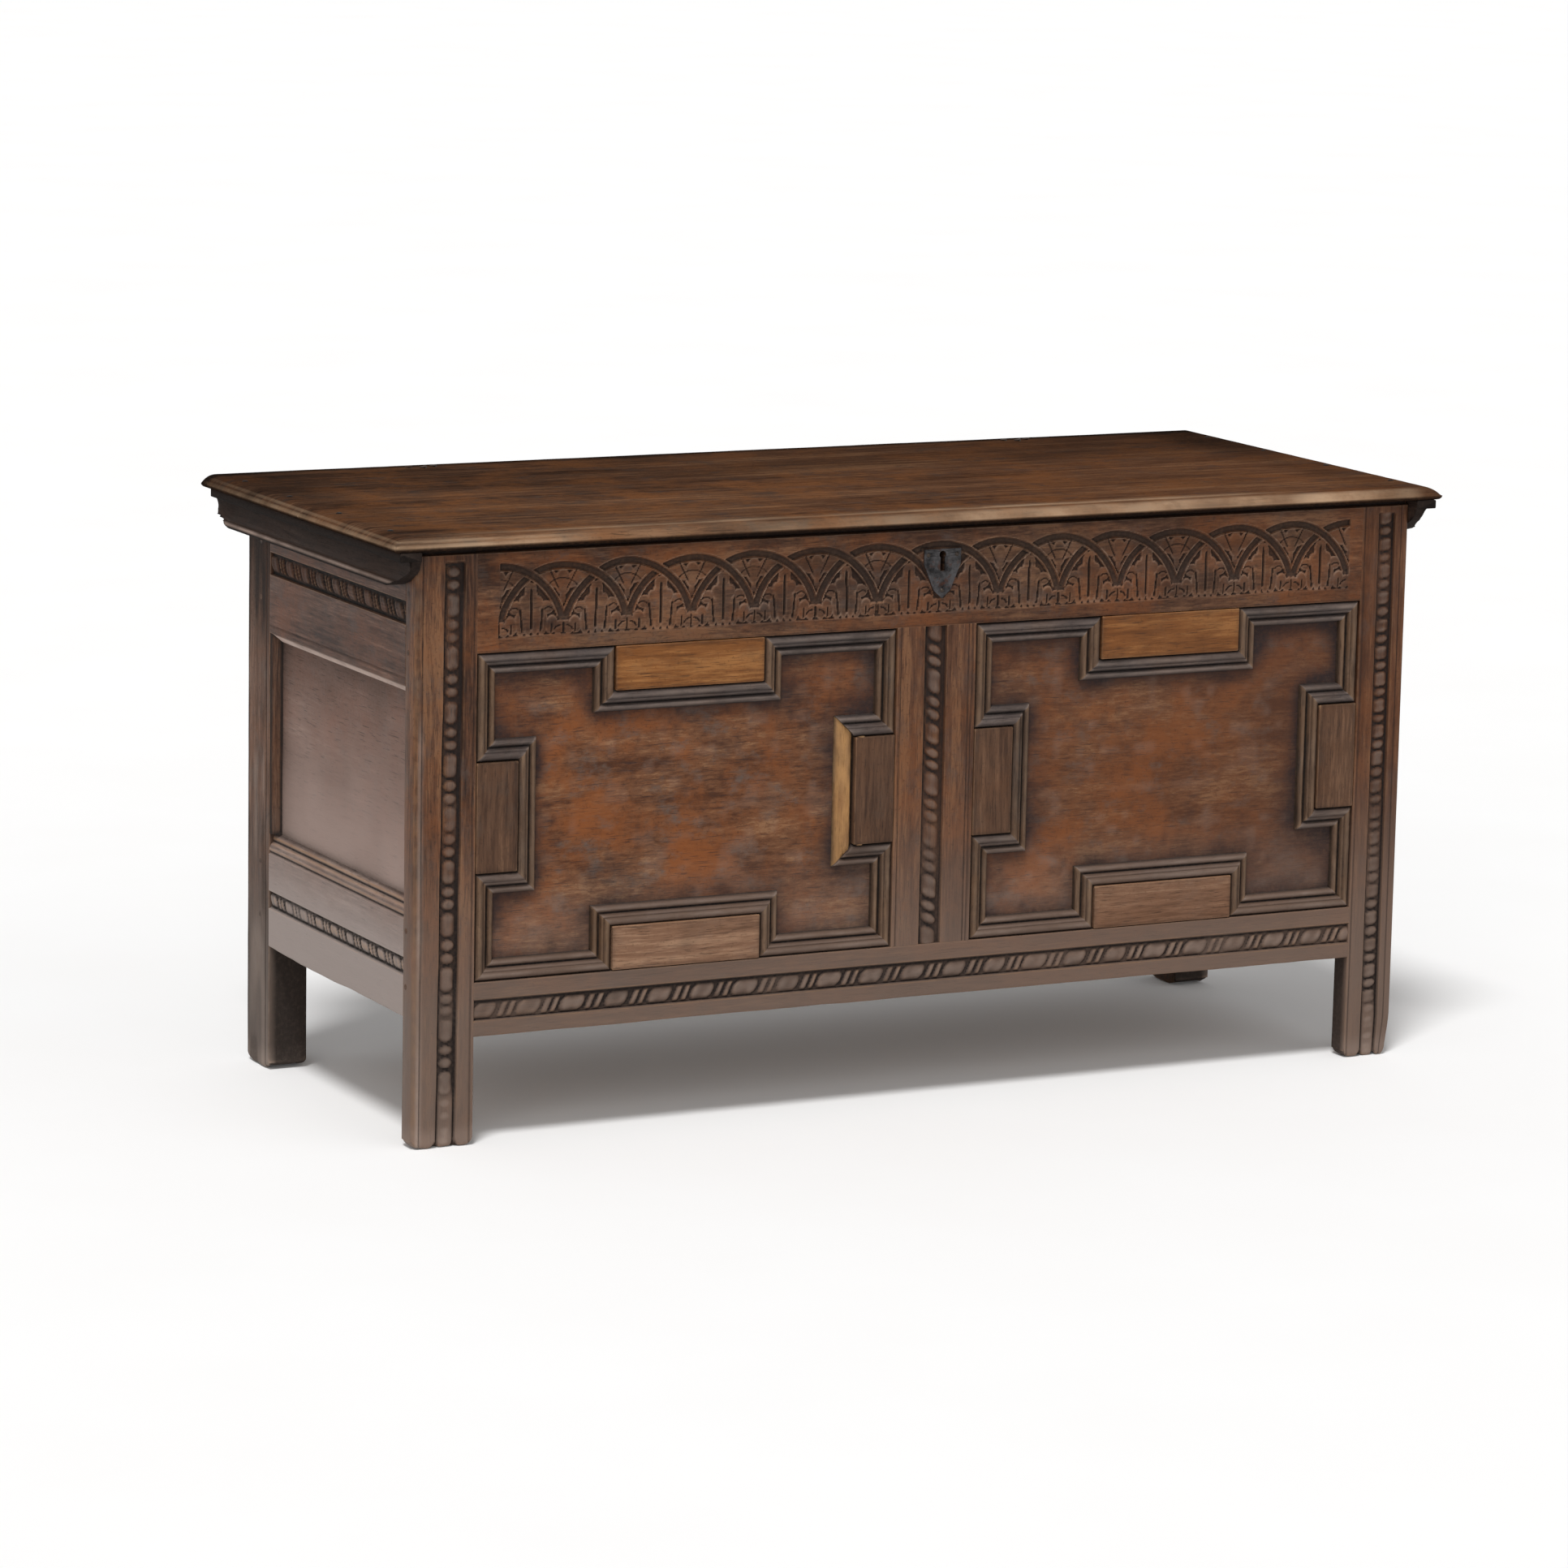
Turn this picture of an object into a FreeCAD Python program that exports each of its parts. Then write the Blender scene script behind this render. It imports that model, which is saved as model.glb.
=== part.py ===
import FreeCAD, Part
import math
import os

from FreeCAD import Vector

# A joined oak blanket chest: a framed and panelled box with a carved front, mitred
# mouldings on the front panels, and a plank lid on two iron hinges at the back.
# Millimetres, +Z up, the front faces -Y, origin on the floor under the middle of the lid.

# Driving sizes of the box
frame_width = 1210.0
frame_depth = 465.0
frame_height = 638.0
rail_thickness = 24.0

# Lid
lid_thickness = 14.0
lid_end_overhang = 32.5
lid_front_overhang = 19.0
lid_rear_overhang = 60.0
front_board_depth = 262.0
board_joint_gap = 0.4
nose_width = 17.0
nose_drop = 9.0
scratch_line_setback = 31.0
scratch_line_width = 2.2
scratch_line_depth = 1.0

# Lid cleats: moulded battens under both ends of the lid
cleat_height = 41.0
cleat_fillet = 9.5
cleat_inset = 7.0
cleat_step = 11.0
cleat_cove = 4.0
cleat_lip_radius = 4.0
cleat_lip_offset = 2.0
cleat_side_gap = 1.0
cleat_end_setback = 2.0
cleat_rear_setback = 12.0
cleat_rake = 42.0
cleat_rake_start = 2.0
cleat_rake_waist = (0.42, 0.36)

# Stiles: the upright corner boards that run down as legs
left_front_stile_width = 70.0
right_front_stile_width = 59.0
front_stile_thickness = 27.0
rear_stile_width = 46.0
rear_stile_depth = 48.0
rear_stile_swell = 16.0
rear_stile_swell_shoulder = 8.0
rear_stile_swell_inset = 0.5
arris_round = 6.0
foot_bevel = 3.0

# Rails: lower edge and height
front_bottom_rail_base = 116.0
front_bottom_rail_height = 59.0
front_top_rail_height = 112.0
side_bottom_rail_base = 137.0
side_bottom_rail_height = 131.0
side_top_rail_height = 146.5
back_bottom_rail_height = 70.0
back_top_rail_height = 104.0
side_rail_moulding = 22.0
side_rail_chamfer = 5.0

# The moulding on a side bottom rail: depth below the face and height above its foot
side_rail_steps = [(1.6, 0.0), (1.6, 3.0), (0.6, 4.0), (4.6, 12.0), (6.0, 12.0), (6.0, 14.0), (5.0, 15.0)]

# Muntins: the middle uprights
front_muntin_width = 96.5
front_muntin_offset = 8.75
back_muntin_width = 90.0

# Mortise and tenon joints, and the oak pegs that draw them up
tenon_offset = 8.0
tenon_thickness = 8.0
tenon_wall = 10.0
tenon_shoulder = 12.0
top_shoulder = 24.0
side_tenon_length = 16.0
back_tenon_length = 30.0
muntin_tenon_length = 22.0
joint_clearance = 0.2
peg_radius = 3.5
side_peg_radius = 3.0
peg_length = 26.0
peg_cover = 6.0
peg_setback = 14.0
side_peg_setback = 7.0
peg_clearance = 0.1
peg_shares = (0.22, 0.78)

# Panels
panel_recess = 9.0
panel_thickness = 11.0
panel_tongue = 6.0
panel_border = 34.0
groove_depth = 8.0
groove_clearance = 0.3
panel_play = 1.5

# Sunk strips that hold the carved borders
strip_depth = 3.0
left_stile_strip_width = 21.0
left_stile_strip_setback = 38.5
right_stile_strip_width = 19.0
right_stile_strip_setback = 25.0
stile_strip_base = 95.0
stile_strip_top_margin = 14.0
muntin_strip_width = 26.0
front_strip_margin = 18.0
front_strip_height = 20.5
side_top_strip_margin = 65.0
side_top_strip_height = 24.0
side_bottom_strip_margin = 47.0
side_bottom_strip_height = 19.5
frieze_margin_low = 12.0
frieze_height = 86.0
left_frieze_margin = 25.0
right_frieze_margin = 17.0
frieze_depth = 1.2
frieze_boss_margin = 1.0

# Mitred mouldings and small blocks planted on the front panels
moulding_width = 23.0
moulding_height = 9.5
moulding_gap = 0.8
end_block_width = 175.0
end_block_height = 48.0
side_block_width = 48.0
side_block_height = 118.0
block_height = 9.5
block_bevel = 1.2

# Sections of the mouldings, as shares of their width and height, and the length that is worn
reeded_section = [(0, 0), (0, 1), (0.2, 1), (0.22, 0.78), (0.28, 0.78), (0.3, 0.92), (0.5, 0.84),
                  (0.58, 0.58), (0.6, 0.42), (0.66, 0.42), (0.68, 0.62), (0.84, 0.56), (0.95, 0.3), (1, 0)]
worn_section = [(0, 0), (0, 1), (0.2, 1), (0.24, 0.32), (0.96, 0.3), (1, 0)]
worn_run = 4

# Floor of the chest
floor_thickness = 12.0
floor_top = 156.0
floor_boards = 4
floor_board_gap = 0.6
floor_groove_depth = 8.0
floor_rear_setback = 8.0
floor_side_gap = 2.0
floor_groove_play = 1.0

# Hinges
hinge_offset = 380.0
knuckle_radius = 6.5
hinge_pin_radius = 2.6
hinge_pin_head_radius = 4.0
hinge_pin_head = 2.0
hinge_pin_end = 1.0
hinge_plate = 2.5
knuckle_length = 14.0
knuckle_gap = 0.3
hinge_running_gap = 0.1
hinge_seat_gap = 0.3
frame_leaf_length = 52.0
lid_leaf_length = 38.0
leaf_root_width = 26.0
leaf_tip_width = 58.0

# Lock
lock_offset = 12.2
lock_width = 96.0
lock_height = 66.0
lock_depth = 20.0
lock_wall = 1.6
lock_flange = 12.0
lock_top_drop = 6.0
lock_nail_margin = 6.0
lock_nail_low = 10.0
lock_nail_high = 14.0
guide_length = 4.5
guide_margin = 1.0
keyhole_width = 5.5
keyhole_slot = 18.0
keyhole_head_radius = 4.0
keyhole_drop = 34.0
key_post_radius = 1.5
bolt_length = 36.0
bolt_height = 9.0
bolt_thickness = 5.0
bolt_drop = 13.0
bolt_travel = 12.0
bolt_running_gap = 0.3
bolt_nose_trim = 1.5
bolt_foot_gap = 2.0
bolt_foot_reach = 13.5
staple_width = 12.0
staple_thickness = 4.0
staple_reach = 22.0
staple_slot_gap = 1.8
staple_eye = (7.0, 11.5)
staple_plate = (40.0, 15.0, 2.0)
bolt_end_gap = 0.8
escutcheon_width = 45.0
escutcheon_height = 54.0
escutcheon_rise = 6.0
escutcheon_thickness = 1.6
escutcheon_shoulder = 16.2
escutcheon_waist = 20.25
escutcheon_point = 9.0
escutcheon_nail_margin = 5.0
escutcheon_nail_drop = 6.0
spring_thickness = 1.0
spring_width = 4.0
spring_run = 15.0
spring_gap = 0.15

# Nails: head radius, head height, shank radius, shank length
small_nail = (2.6, 1.2, 1.0, 9.0)
hinge_nail = (3.6, 1.2, 1.4, 11.0)
cleat_nail = (3.6, 1.0, 1.4, 34.0)
floor_nail = (3.4, 1.0, 1.4, 32.0)
nail_clearance = 0.05
nail_head_share = 0.55
clench_length = 7.0
clench_point_share = 0.4
cleat_nail_shares = (0.06, 0.36, 0.66, 0.94)
floor_nail_shares = (0.25, 0.75)

# Nails of a hinge leaf: place across the leaf, and share of its length
frame_leaf_holes = ((-14.0, 0.86), (14.0, 0.86), (0.0, 0.52))
lid_leaf_holes = ((-15.0, 0.8), (15.0, 0.8), (0.0, 0.62))

# How far a cutting shape runs past the face that it cuts, and how close counts as on a face
over = 1.0
touch = 0.01

# Places that follow from the sizes
lid_width = frame_width + 2 * lid_end_overhang
lid_depth = frame_depth + lid_front_overhang + lid_rear_overhang
lid_front = -lid_depth / 2
lid_rear = lid_depth / 2
front_y = lid_front + lid_front_overhang
rear_y = front_y + frame_depth
side_x = frame_width / 2
stile_back = front_y + front_stile_thickness
rear_stile_front = rear_y - rear_stile_depth
front_rail_back = front_y + rail_thickness
rear_rail_front = rear_y - rail_thickness
floor_base = floor_top - floor_thickness
front_bottom = (front_bottom_rail_base, front_bottom_rail_base + front_bottom_rail_height)
front_top = (frame_height - front_top_rail_height, frame_height)
side_bottom = (side_bottom_rail_base, side_bottom_rail_base + side_bottom_rail_height)
side_top = (frame_height - side_top_rail_height, frame_height)
back_bottom = (floor_top, floor_top + back_bottom_rail_height)
back_top = (frame_height - back_top_rail_height, frame_height)
hinge_y = rear_y + knuckle_radius + hinge_seat_gap
hinge_z = frame_height - knuckle_radius - hinge_seat_gap
lock_back = front_rail_back + lock_depth
lock_top = frame_height - lock_top_drop
keyhole_z = frame_height - keyhole_drop
escutcheon_top = keyhole_z + escutcheon_rise
bolt_z = lock_top - bolt_drop
bolt_home = lock_offset - staple_thickness / 2 - bolt_end_gap - bolt_length
staple_y = front_rail_back + lock_depth / 2


# Plain shapes
def box(x0, x1, y0, y1, z0, z1):
    """A box between two corners, in any order."""
    low = Vector(min(x0, x1), min(y0, y1), min(z0, z1))
    return Part.makeBox(abs(x1 - x0), abs(y1 - y0), abs(z1 - z0), low)


def rod(centre, axis, radius, length):
    """A round rod that starts at centre and runs along axis."""
    return Part.makeCylinder(radius, length, Vector(*centre), Vector(*axis))


def prism(points, sweep):
    """A flat outline swept along a vector."""
    outline = [Vector(*p) for p in points]
    return Part.Face(Part.makePolygon(outline + outline[:1])).extrude(Vector(*sweep))


def mirrored(shape):
    """The same shape on the other side of the chest."""
    return shape.mirror(Vector(0, 0, 0), Vector(1, 0, 0))


def fused(shapes):
    """One solid made of shapes that touch."""
    return shapes[0].multiFuse(shapes[1:]).removeSplitter()


def cut(shape, tools):
    """The shape with every tool taken out of it."""
    return shape.cut(Part.makeCompound(tools)) if tools else shape


def save(name, *shapes):
    """Write one node, with each shape in it as its own solid."""
    solids = [solid for shape in shapes for solid in shape.Solids]
    shape = solids[0] if len(solids) == 1 else Part.makeCompound(solids)
    shape.exportStep("parts/" + name + ".step")
    print(name, len(solids), "solid(s)", round(shape.Volume), "mm3")


# Tenons, as boxes that grow by a clearance to give the mortise
def tenon_levels(levels, is_top):
    """Lower and upper face of the tenon on a rail."""
    return levels[0] + tenon_shoulder, levels[1] - (top_shoulder if is_top else tenon_shoulder)


def front_stile_width(side):
    """Width of a front stile: the left one is the wider."""
    return left_front_stile_width if side < 0 else right_front_stile_width


def front_stile_inner(side):
    """The edge of a front stile that faces the panels."""
    return side * (side_x - front_stile_width(side))


def front_tenon(side, levels, is_top, grow=0.0):
    """The tenon of a front rail in a front stile."""
    z0, z1 = tenon_levels(levels, is_top)
    length = front_stile_width(side) - tenon_offset - tenon_thickness - tenon_wall
    inner = front_stile_inner(side)
    y0 = front_y + tenon_offset
    return box(inner, inner + side * (length + grow), y0 - grow, y0 + tenon_thickness + grow,
               z0 - grow, z1 + grow)


def side_tenon(side, at_front, levels, is_top, grow=0.0):
    """The tenon of a side rail in a front or rear stile."""
    z0, z1 = tenon_levels(levels, is_top)
    x0 = side_x - tenon_offset
    if at_front:
        shoulder, reach = stile_back, -side_tenon_length - grow
    else:
        shoulder = rear_stile_front
        reach = rear_stile_depth - tenon_offset - tenon_thickness - tenon_wall + grow
    return box(side * (x0 + grow), side * (x0 - tenon_thickness - grow), shoulder, shoulder + reach,
               z0 - grow, z1 + grow)


def back_tenon(side, levels, is_top, grow=0.0):
    """The tenon of a back rail in a rear stile."""
    z0, z1 = tenon_levels(levels, is_top)
    inner = side * (side_x - rear_stile_width)
    y0 = rear_y - tenon_offset - tenon_thickness
    return box(inner, inner + side * (back_tenon_length + grow), y0 - grow,
               y0 + tenon_thickness + grow, z0 - grow, z1 + grow)


def muntin_tenon(centre, width, face, at_top, edge, grow=0.0):
    """The tenon of a muntin in the rail above or below it."""
    half = width / 2 - tenon_shoulder + grow
    away = 1 if at_top else -1
    inward = 1 if face == front_y else -1
    y0 = face + inward * tenon_offset
    y1 = y0 + inward * tenon_thickness
    return box(centre - half, centre + half, y0 - inward * grow, y1 + inward * grow,
               edge, edge + away * (muntin_tenon_length + grow))


FRONT_JOINTS = [(front_bottom, False), (front_top, True)]
SIDE_JOINTS = [(side_bottom, False), (side_top, True)]
BACK_JOINTS = [(back_bottom, False), (back_top, True)]


# Pegs
def pair_heights(levels, is_top):
    """Heights of the two pegs in one tenon."""
    z0, z1 = tenon_levels(levels, is_top)
    return [z0 + (z1 - z0) * share for share in peg_shares]


def front_pegs(grow=0.0):
    """Pegs of the front stiles and muntin, driven from inside so that the carved face stays whole."""
    pegs = []
    for side in (-1, 1):
        x = front_stile_inner(side) + side * peg_setback
        depth = front_stile_thickness - peg_cover + grow
        for levels, is_top in FRONT_JOINTS:
            for z in pair_heights(levels, is_top):
                pegs.append(rod((x, stile_back, z), (0, -1, 0), peg_radius + grow, depth))
    for x in (front_muntin_offset - peg_setback, front_muntin_offset + peg_setback):
        for z in (front_bottom[1] - muntin_tenon_length / 2, front_top[0] + muntin_tenon_length / 2):
            depth = rail_thickness - peg_cover + grow
            pegs.append(rod((x, front_rail_back, z), (0, -1, 0), side_peg_radius + grow, depth))
    return pegs


def side_pegs(grow=0.0):
    """Pegs driven from both sides of the chest through the side rails' tenons."""
    pegs = []
    for side in (-1, 1):
        for y in (stile_back - side_peg_setback, rear_stile_front + side_peg_setback + side_peg_radius):
            for levels, is_top in SIDE_JOINTS:
                for z in pair_heights(levels, is_top):
                    start = (side * side_x, y, z)
                    pegs.append(rod(start, (-side, 0, 0), side_peg_radius + grow, peg_length + grow))
    return pegs


def back_pegs(grow=0.0):
    """Pegs through the rear stiles, and through the ends of the back muntin."""
    pegs = []
    for side in (-1, 1):
        x = side * (side_x - rear_stile_width + peg_setback)
        for levels, is_top in BACK_JOINTS:
            for z in pair_heights(levels, is_top):
                pegs.append(rod((x, rear_y, z), (0, -1, 0), peg_radius + grow, peg_length + grow))
    for x in (-peg_setback, peg_setback):
        for z in (back_bottom[1] - muntin_tenon_length / 2, back_top[0] + muntin_tenon_length / 2):
            depth = rail_thickness - peg_cover + grow
            pegs.append(rod((x, rear_y, z), (0, -1, 0), side_peg_radius + grow, depth))
    return pegs


def peg_holes():
    """Holes for every peg in the frame."""
    return front_pegs(peg_clearance) + side_pegs(peg_clearance) + back_pegs(peg_clearance)


# Grooves for the panels
def front_groove():
    """The slot round both front panels, as one block to cut from the frame."""
    y0 = front_y + panel_recess - groove_clearance
    y1 = front_y + panel_recess + panel_tongue + groove_clearance
    return [box(x0 - groove_depth, x1 + groove_depth, y0, y1, front_bottom[1] - groove_depth,
                front_top[0] + groove_depth) for x0, x1 in front_openings()]


def front_openings():
    """Left and right edges of the two front panel openings."""
    half = front_muntin_width / 2
    return [(front_stile_inner(-1), front_muntin_offset - half),
            (front_muntin_offset + half, front_stile_inner(1))]


def back_openings():
    """Left and right edges of the two back panel openings."""
    edge = side_x - rear_stile_width
    half = back_muntin_width / 2
    return [(-edge, -half), (half, edge)]


def back_groove():
    """The slot round both back panels."""
    y0 = rear_y - panel_recess + groove_clearance
    y1 = rear_y - panel_recess - panel_tongue - groove_clearance
    return [box(x0 - groove_depth, x1 + groove_depth, y0, y1, back_bottom[1] - groove_depth,
                back_top[0] + groove_depth) for x0, x1 in back_openings()]


def side_groove(side):
    """The slot round one side panel."""
    x0 = side * (side_x - panel_recess + groove_clearance)
    x1 = side * (side_x - panel_recess - panel_tongue - groove_clearance)
    return [box(x0, x1, stile_back - groove_depth, rear_stile_front + groove_depth,
                side_bottom[1] - groove_depth, side_top[0] + groove_depth)]


def floor_groove():
    """The slot in the back of the front bottom rail that takes the floor boards."""
    return box(front_stile_inner(-1), front_stile_inner(1), front_rail_back - floor_groove_depth,
               front_rail_back + over, floor_base - groove_clearance, floor_top + groove_clearance)


# Nails
def nail(place, axis, sizes, grow=0.0):
    """A forged nail: place is under its head, axis is the way that it is driven."""
    head_radius, head_height, shank_radius, shank_length = sizes
    shank = rod(place, axis, shank_radius + grow, shank_length + grow)
    if grow:
        return shank
    away = [-a * head_height for a in axis]
    head = Part.makeCone(head_radius * nail_head_share, head_radius, head_height,
                         Vector(*place) + Vector(*away), Vector(*axis))
    return fused([shank, head])


def clenched_nail(place, sizes, grow=0.0):
    """A hinge nail driven up through the lid, its point turned over on top of the boards."""
    head_radius, head_height, shank_radius, _ = sizes
    through = hinge_plate + lid_thickness + shank_radius
    if grow:
        return rod(place, (0, 0, 1), shank_radius + grow, through + shank_radius)
    body = nail(place, (0, 0, 1), (head_radius, head_height, shank_radius, through + shank_radius))
    top = frame_height + lid_thickness
    point = Part.makeCone(shank_radius, shank_radius * clench_point_share, clench_length,
                          Vector(place[0], place[1], top + shank_radius), Vector(-1, 0, 0))
    return fused([body, point])


def lock_nail_places():
    """The nails that hold the lock case to the back of the top rail."""
    half = lock_width / 2 + lock_nail_margin
    heights = (lock_top - lock_height + lock_nail_low, lock_top - lock_nail_high)
    return [(lock_offset + s * half, front_rail_back + lock_wall, z) for s in (-1, 1) for z in heights]


def escutcheon_nail_places():
    """The nails at the three corners of the iron shield on the front."""
    half = escutcheon_width / 2 - escutcheon_nail_margin
    y = front_y - escutcheon_thickness
    high = escutcheon_top - escutcheon_nail_drop
    low = escutcheon_top - escutcheon_height + escutcheon_point
    return [(lock_offset - half, y, high), (lock_offset + half, y, high), (lock_offset, y, low)]


def lock_nails(grow=0.0):
    """Every small nail of the lock: the case from inside, the shield from the front."""
    nails = [nail(p, (0, -1, 0), small_nail, grow) for p in lock_nail_places()]
    return nails + [nail(p, (0, 1, 0), small_nail, grow) for p in escutcheon_nail_places()]


def frame_leaf_nails(grow=0.0):
    """Nails of the hinge leaves on the back of the chest."""
    y = rear_y + hinge_seat_gap + hinge_plate
    nails = []
    for side in (-1, 1):
        for across, down in frame_leaf_holes:
            place = (side * hinge_offset + across, y, hinge_z - frame_leaf_length * down)
            nails.append(nail(place, (0, -1, 0), hinge_nail, grow))
    return nails


def lid_leaf_nails(grow=0.0):
    """Nails of the hinge leaves under the lid, clenched on its top."""
    z = frame_height - hinge_seat_gap - hinge_plate
    nails = []
    for side in (-1, 1):
        for across, back in lid_leaf_holes:
            place = (side * hinge_offset + across, hinge_y + lid_leaf_length * back, z)
            nails.append(clenched_nail(place, hinge_nail, grow))
    return nails


def cleat_nails(grow=0.0):
    """Nails driven down through the lid into the cleats."""
    middle = side_x + (lid_end_overhang - cleat_inset - cleat_step + cleat_side_gap) / 2
    top = frame_height + lid_thickness
    run = lid_depth - 2 * cleat_rake
    nails = []
    for side in (-1, 1):
        for share in cleat_nail_shares:
            place = (side * middle, lid_front + cleat_rake + run * share, top)
            nails.append(nail(place, (0, 0, -1), cleat_nail, grow))
    return nails


def floor_edges():
    """Left and right edges of each floor board."""
    half = side_x - rail_thickness - floor_side_gap
    step = 2 * half / floor_boards
    return [(-half + i * step + floor_board_gap / 2, -half + (i + 1) * step - floor_board_gap / 2)
            for i in range(floor_boards)]


def floor_nails(grow=0.0):
    """Nails that hold the floor boards up to the back bottom rail."""
    y = rear_y - rail_thickness / 2
    nails = []
    for x0, x1 in floor_edges():
        for share in floor_nail_shares:
            nails.append(nail((x0 + (x1 - x0) * share, y, floor_base), (0, 0, 1), floor_nail, grow))
    return nails


# Front frame
def front_stile(side):
    """A front corner board with its mortises, panel grooves and sunk strip."""
    inner = front_stile_inner(side)
    blank = box(side * side_x, inner, front_y, stile_back, 0, frame_height)
    corner = [e for e in blank.Edges if abs(e.CenterOfMass.x - side * side_x) < touch
              and abs(e.CenterOfMass.y - front_y) < touch]
    blank = blank.makeFillet(arris_round, corner)
    blank = blank.makeChamfer(foot_bevel, [e for e in blank.Edges if e.BoundBox.ZMax < touch])
    tools = [front_tenon(side, levels, is_top, joint_clearance) for levels, is_top in FRONT_JOINTS]
    tools += [side_tenon(side, True, levels, is_top, joint_clearance) for levels, is_top in SIDE_JOINTS]
    return cut(blank, tools + front_groove() + side_groove(side) + peg_holes() + [stile_strip(side)])


def stile_strip(side):
    """The sunk strip down a front stile."""
    setback = left_stile_strip_setback if side < 0 else right_stile_strip_setback
    half = (left_stile_strip_width if side < 0 else right_stile_strip_width) / 2
    centre = side * (side_x - setback)
    return box(centre - half, centre + half, front_y - over, front_y + strip_depth,
               stile_strip_base, frame_height - stile_strip_top_margin)


def front_rail(levels, is_top):
    """A front rail between the stiles, with its tenons."""
    x0, x1 = front_stile_inner(-1), front_stile_inner(1)
    parts = [box(x0, x1, front_y, front_rail_back, levels[0], levels[1])]
    parts += [front_tenon(side, levels, is_top) for side in (-1, 1)]
    edge = levels[0] if is_top else levels[1]
    mortise = muntin_tenon(front_muntin_offset, front_muntin_width, front_y, is_top, edge, joint_clearance)
    return cut(fused(parts), [mortise] + front_groove() + front_pegs(peg_clearance))


def keyhole(y0, y1):
    """The keyhole: a round head over a narrow slot."""
    head = rod((lock_offset, y0, keyhole_z), (0, 1, 0), keyhole_head_radius, y1 - y0)
    slot = box(lock_offset - keyhole_width / 2, lock_offset + keyhole_width / 2, y0, y1,
               keyhole_z - keyhole_slot, keyhole_z)
    return fused([head, slot])


def front_top_rail():
    """The carved top rail, with its sunk frieze field and the keyhole."""
    rail = front_rail(front_top, True)
    low = front_top[0] + frieze_margin_low
    high = low + frieze_height
    floor_y = front_y + frieze_depth
    field = box(front_stile_inner(-1) + left_frieze_margin, front_stile_inner(1) - right_frieze_margin,
                front_y - over, floor_y, low, high)
    half = escutcheon_width / 2 + frieze_boss_margin
    boss = box(lock_offset - half, lock_offset + half, front_y - over, floor_y, low, high)
    hole = keyhole(front_y - over, front_rail_back + over)
    return cut(rail, [field.cut(boss), hole] + lock_nails(nail_clearance))


def front_bottom_rail():
    """The bottom rail, with its sunk strip and the floor groove behind."""
    base = front_bottom[0] + front_strip_margin
    strip = box(-side_x, side_x, front_y - over, front_y + strip_depth, base, base + front_strip_height)
    return cut(front_rail(front_bottom, False), [strip, floor_groove()])


def muntin(centre, width, face, bottom, top, grooves, pegs):
    """A middle upright with a tenon at each end."""
    inward = 1 if face == front_y else -1
    parts = [box(centre - width / 2, centre + width / 2, face, face + inward * rail_thickness, bottom, top),
             muntin_tenon(centre, width, face, False, bottom), muntin_tenon(centre, width, face, True, top)]
    return cut(fused(parts), grooves + pegs)


def front_muntin():
    """The front middle upright, with its sunk strip."""
    half = muntin_strip_width / 2
    strip = box(front_muntin_offset - half, front_muntin_offset + half, front_y - over,
                front_y + strip_depth, front_bottom[1], front_top[0])
    body = muntin(front_muntin_offset, front_muntin_width, front_y, front_bottom[1], front_top[0],
                  front_groove(), front_pegs(peg_clearance))
    return cut(body, [strip])


# Panels: a flat face outside, the back bevelled down to a tongue
def panel(width, height):
    """A panel lying flat: its outer face at z = 0, centred on the origin."""
    full_w = width + 2 * (groove_depth - panel_play)
    full_h = height + 2 * (groove_depth - panel_play)
    slab = box(-full_w / 2, full_w / 2, -full_h / 2, full_h / 2, 0, -panel_thickness)
    for length, across, turn in ((full_w, full_h, 0), (full_h, full_w, 90)):
        edge = across / 2
        inner = edge - groove_depth - panel_border
        wedge = prism([(-length, edge + over, -panel_tongue), (-length, edge + over, -panel_thickness - over),
                       (-length, inner, -panel_thickness - over), (-length, inner, -panel_thickness),
                       (-length, edge - groove_depth, -panel_tongue)], (2 * length, 0, 0))
        for angle in (turn, turn + 180):
            tool = wedge.copy()
            tool.rotate(Vector(0, 0, 0), Vector(0, 0, 1), angle)
            slab = slab.cut(tool)
    return slab


def front_panel(opening):
    """A front panel in its groove."""
    x0, x1 = opening
    shape = panel(x1 - x0, front_top[0] - front_bottom[1])
    shape.rotate(Vector(0, 0, 0), Vector(1, 0, 0), 90)
    shape.translate(Vector((x0 + x1) / 2, front_y + panel_recess, (front_bottom[1] + front_top[0]) / 2))
    return shape


def back_panel(opening):
    """A back panel in its groove."""
    x0, x1 = opening
    shape = panel(x1 - x0, back_top[0] - back_bottom[1])
    shape.rotate(Vector(0, 0, 0), Vector(1, 0, 0), -90)
    shape.translate(Vector((x0 + x1) / 2, rear_y - panel_recess, (back_bottom[1] + back_top[0]) / 2))
    return shape


def side_panel(side):
    """A side panel in its groove."""
    shape = panel(rear_stile_front - stile_back, side_top[0] - side_bottom[1])
    shape.rotate(Vector(0, 0, 0), Vector(0, 0, 1), 90)
    shape.rotate(Vector(0, 0, 0), Vector(0, 1, 0), side * 90)
    if side < 0:
        shape.rotate(Vector(0, 0, 0), Vector(1, 0, 0), 180)
    shape.translate(Vector(side * (side_x - panel_recess), (stile_back + rear_stile_front) / 2,
                           (side_bottom[1] + side_top[0]) / 2))
    return shape


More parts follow.
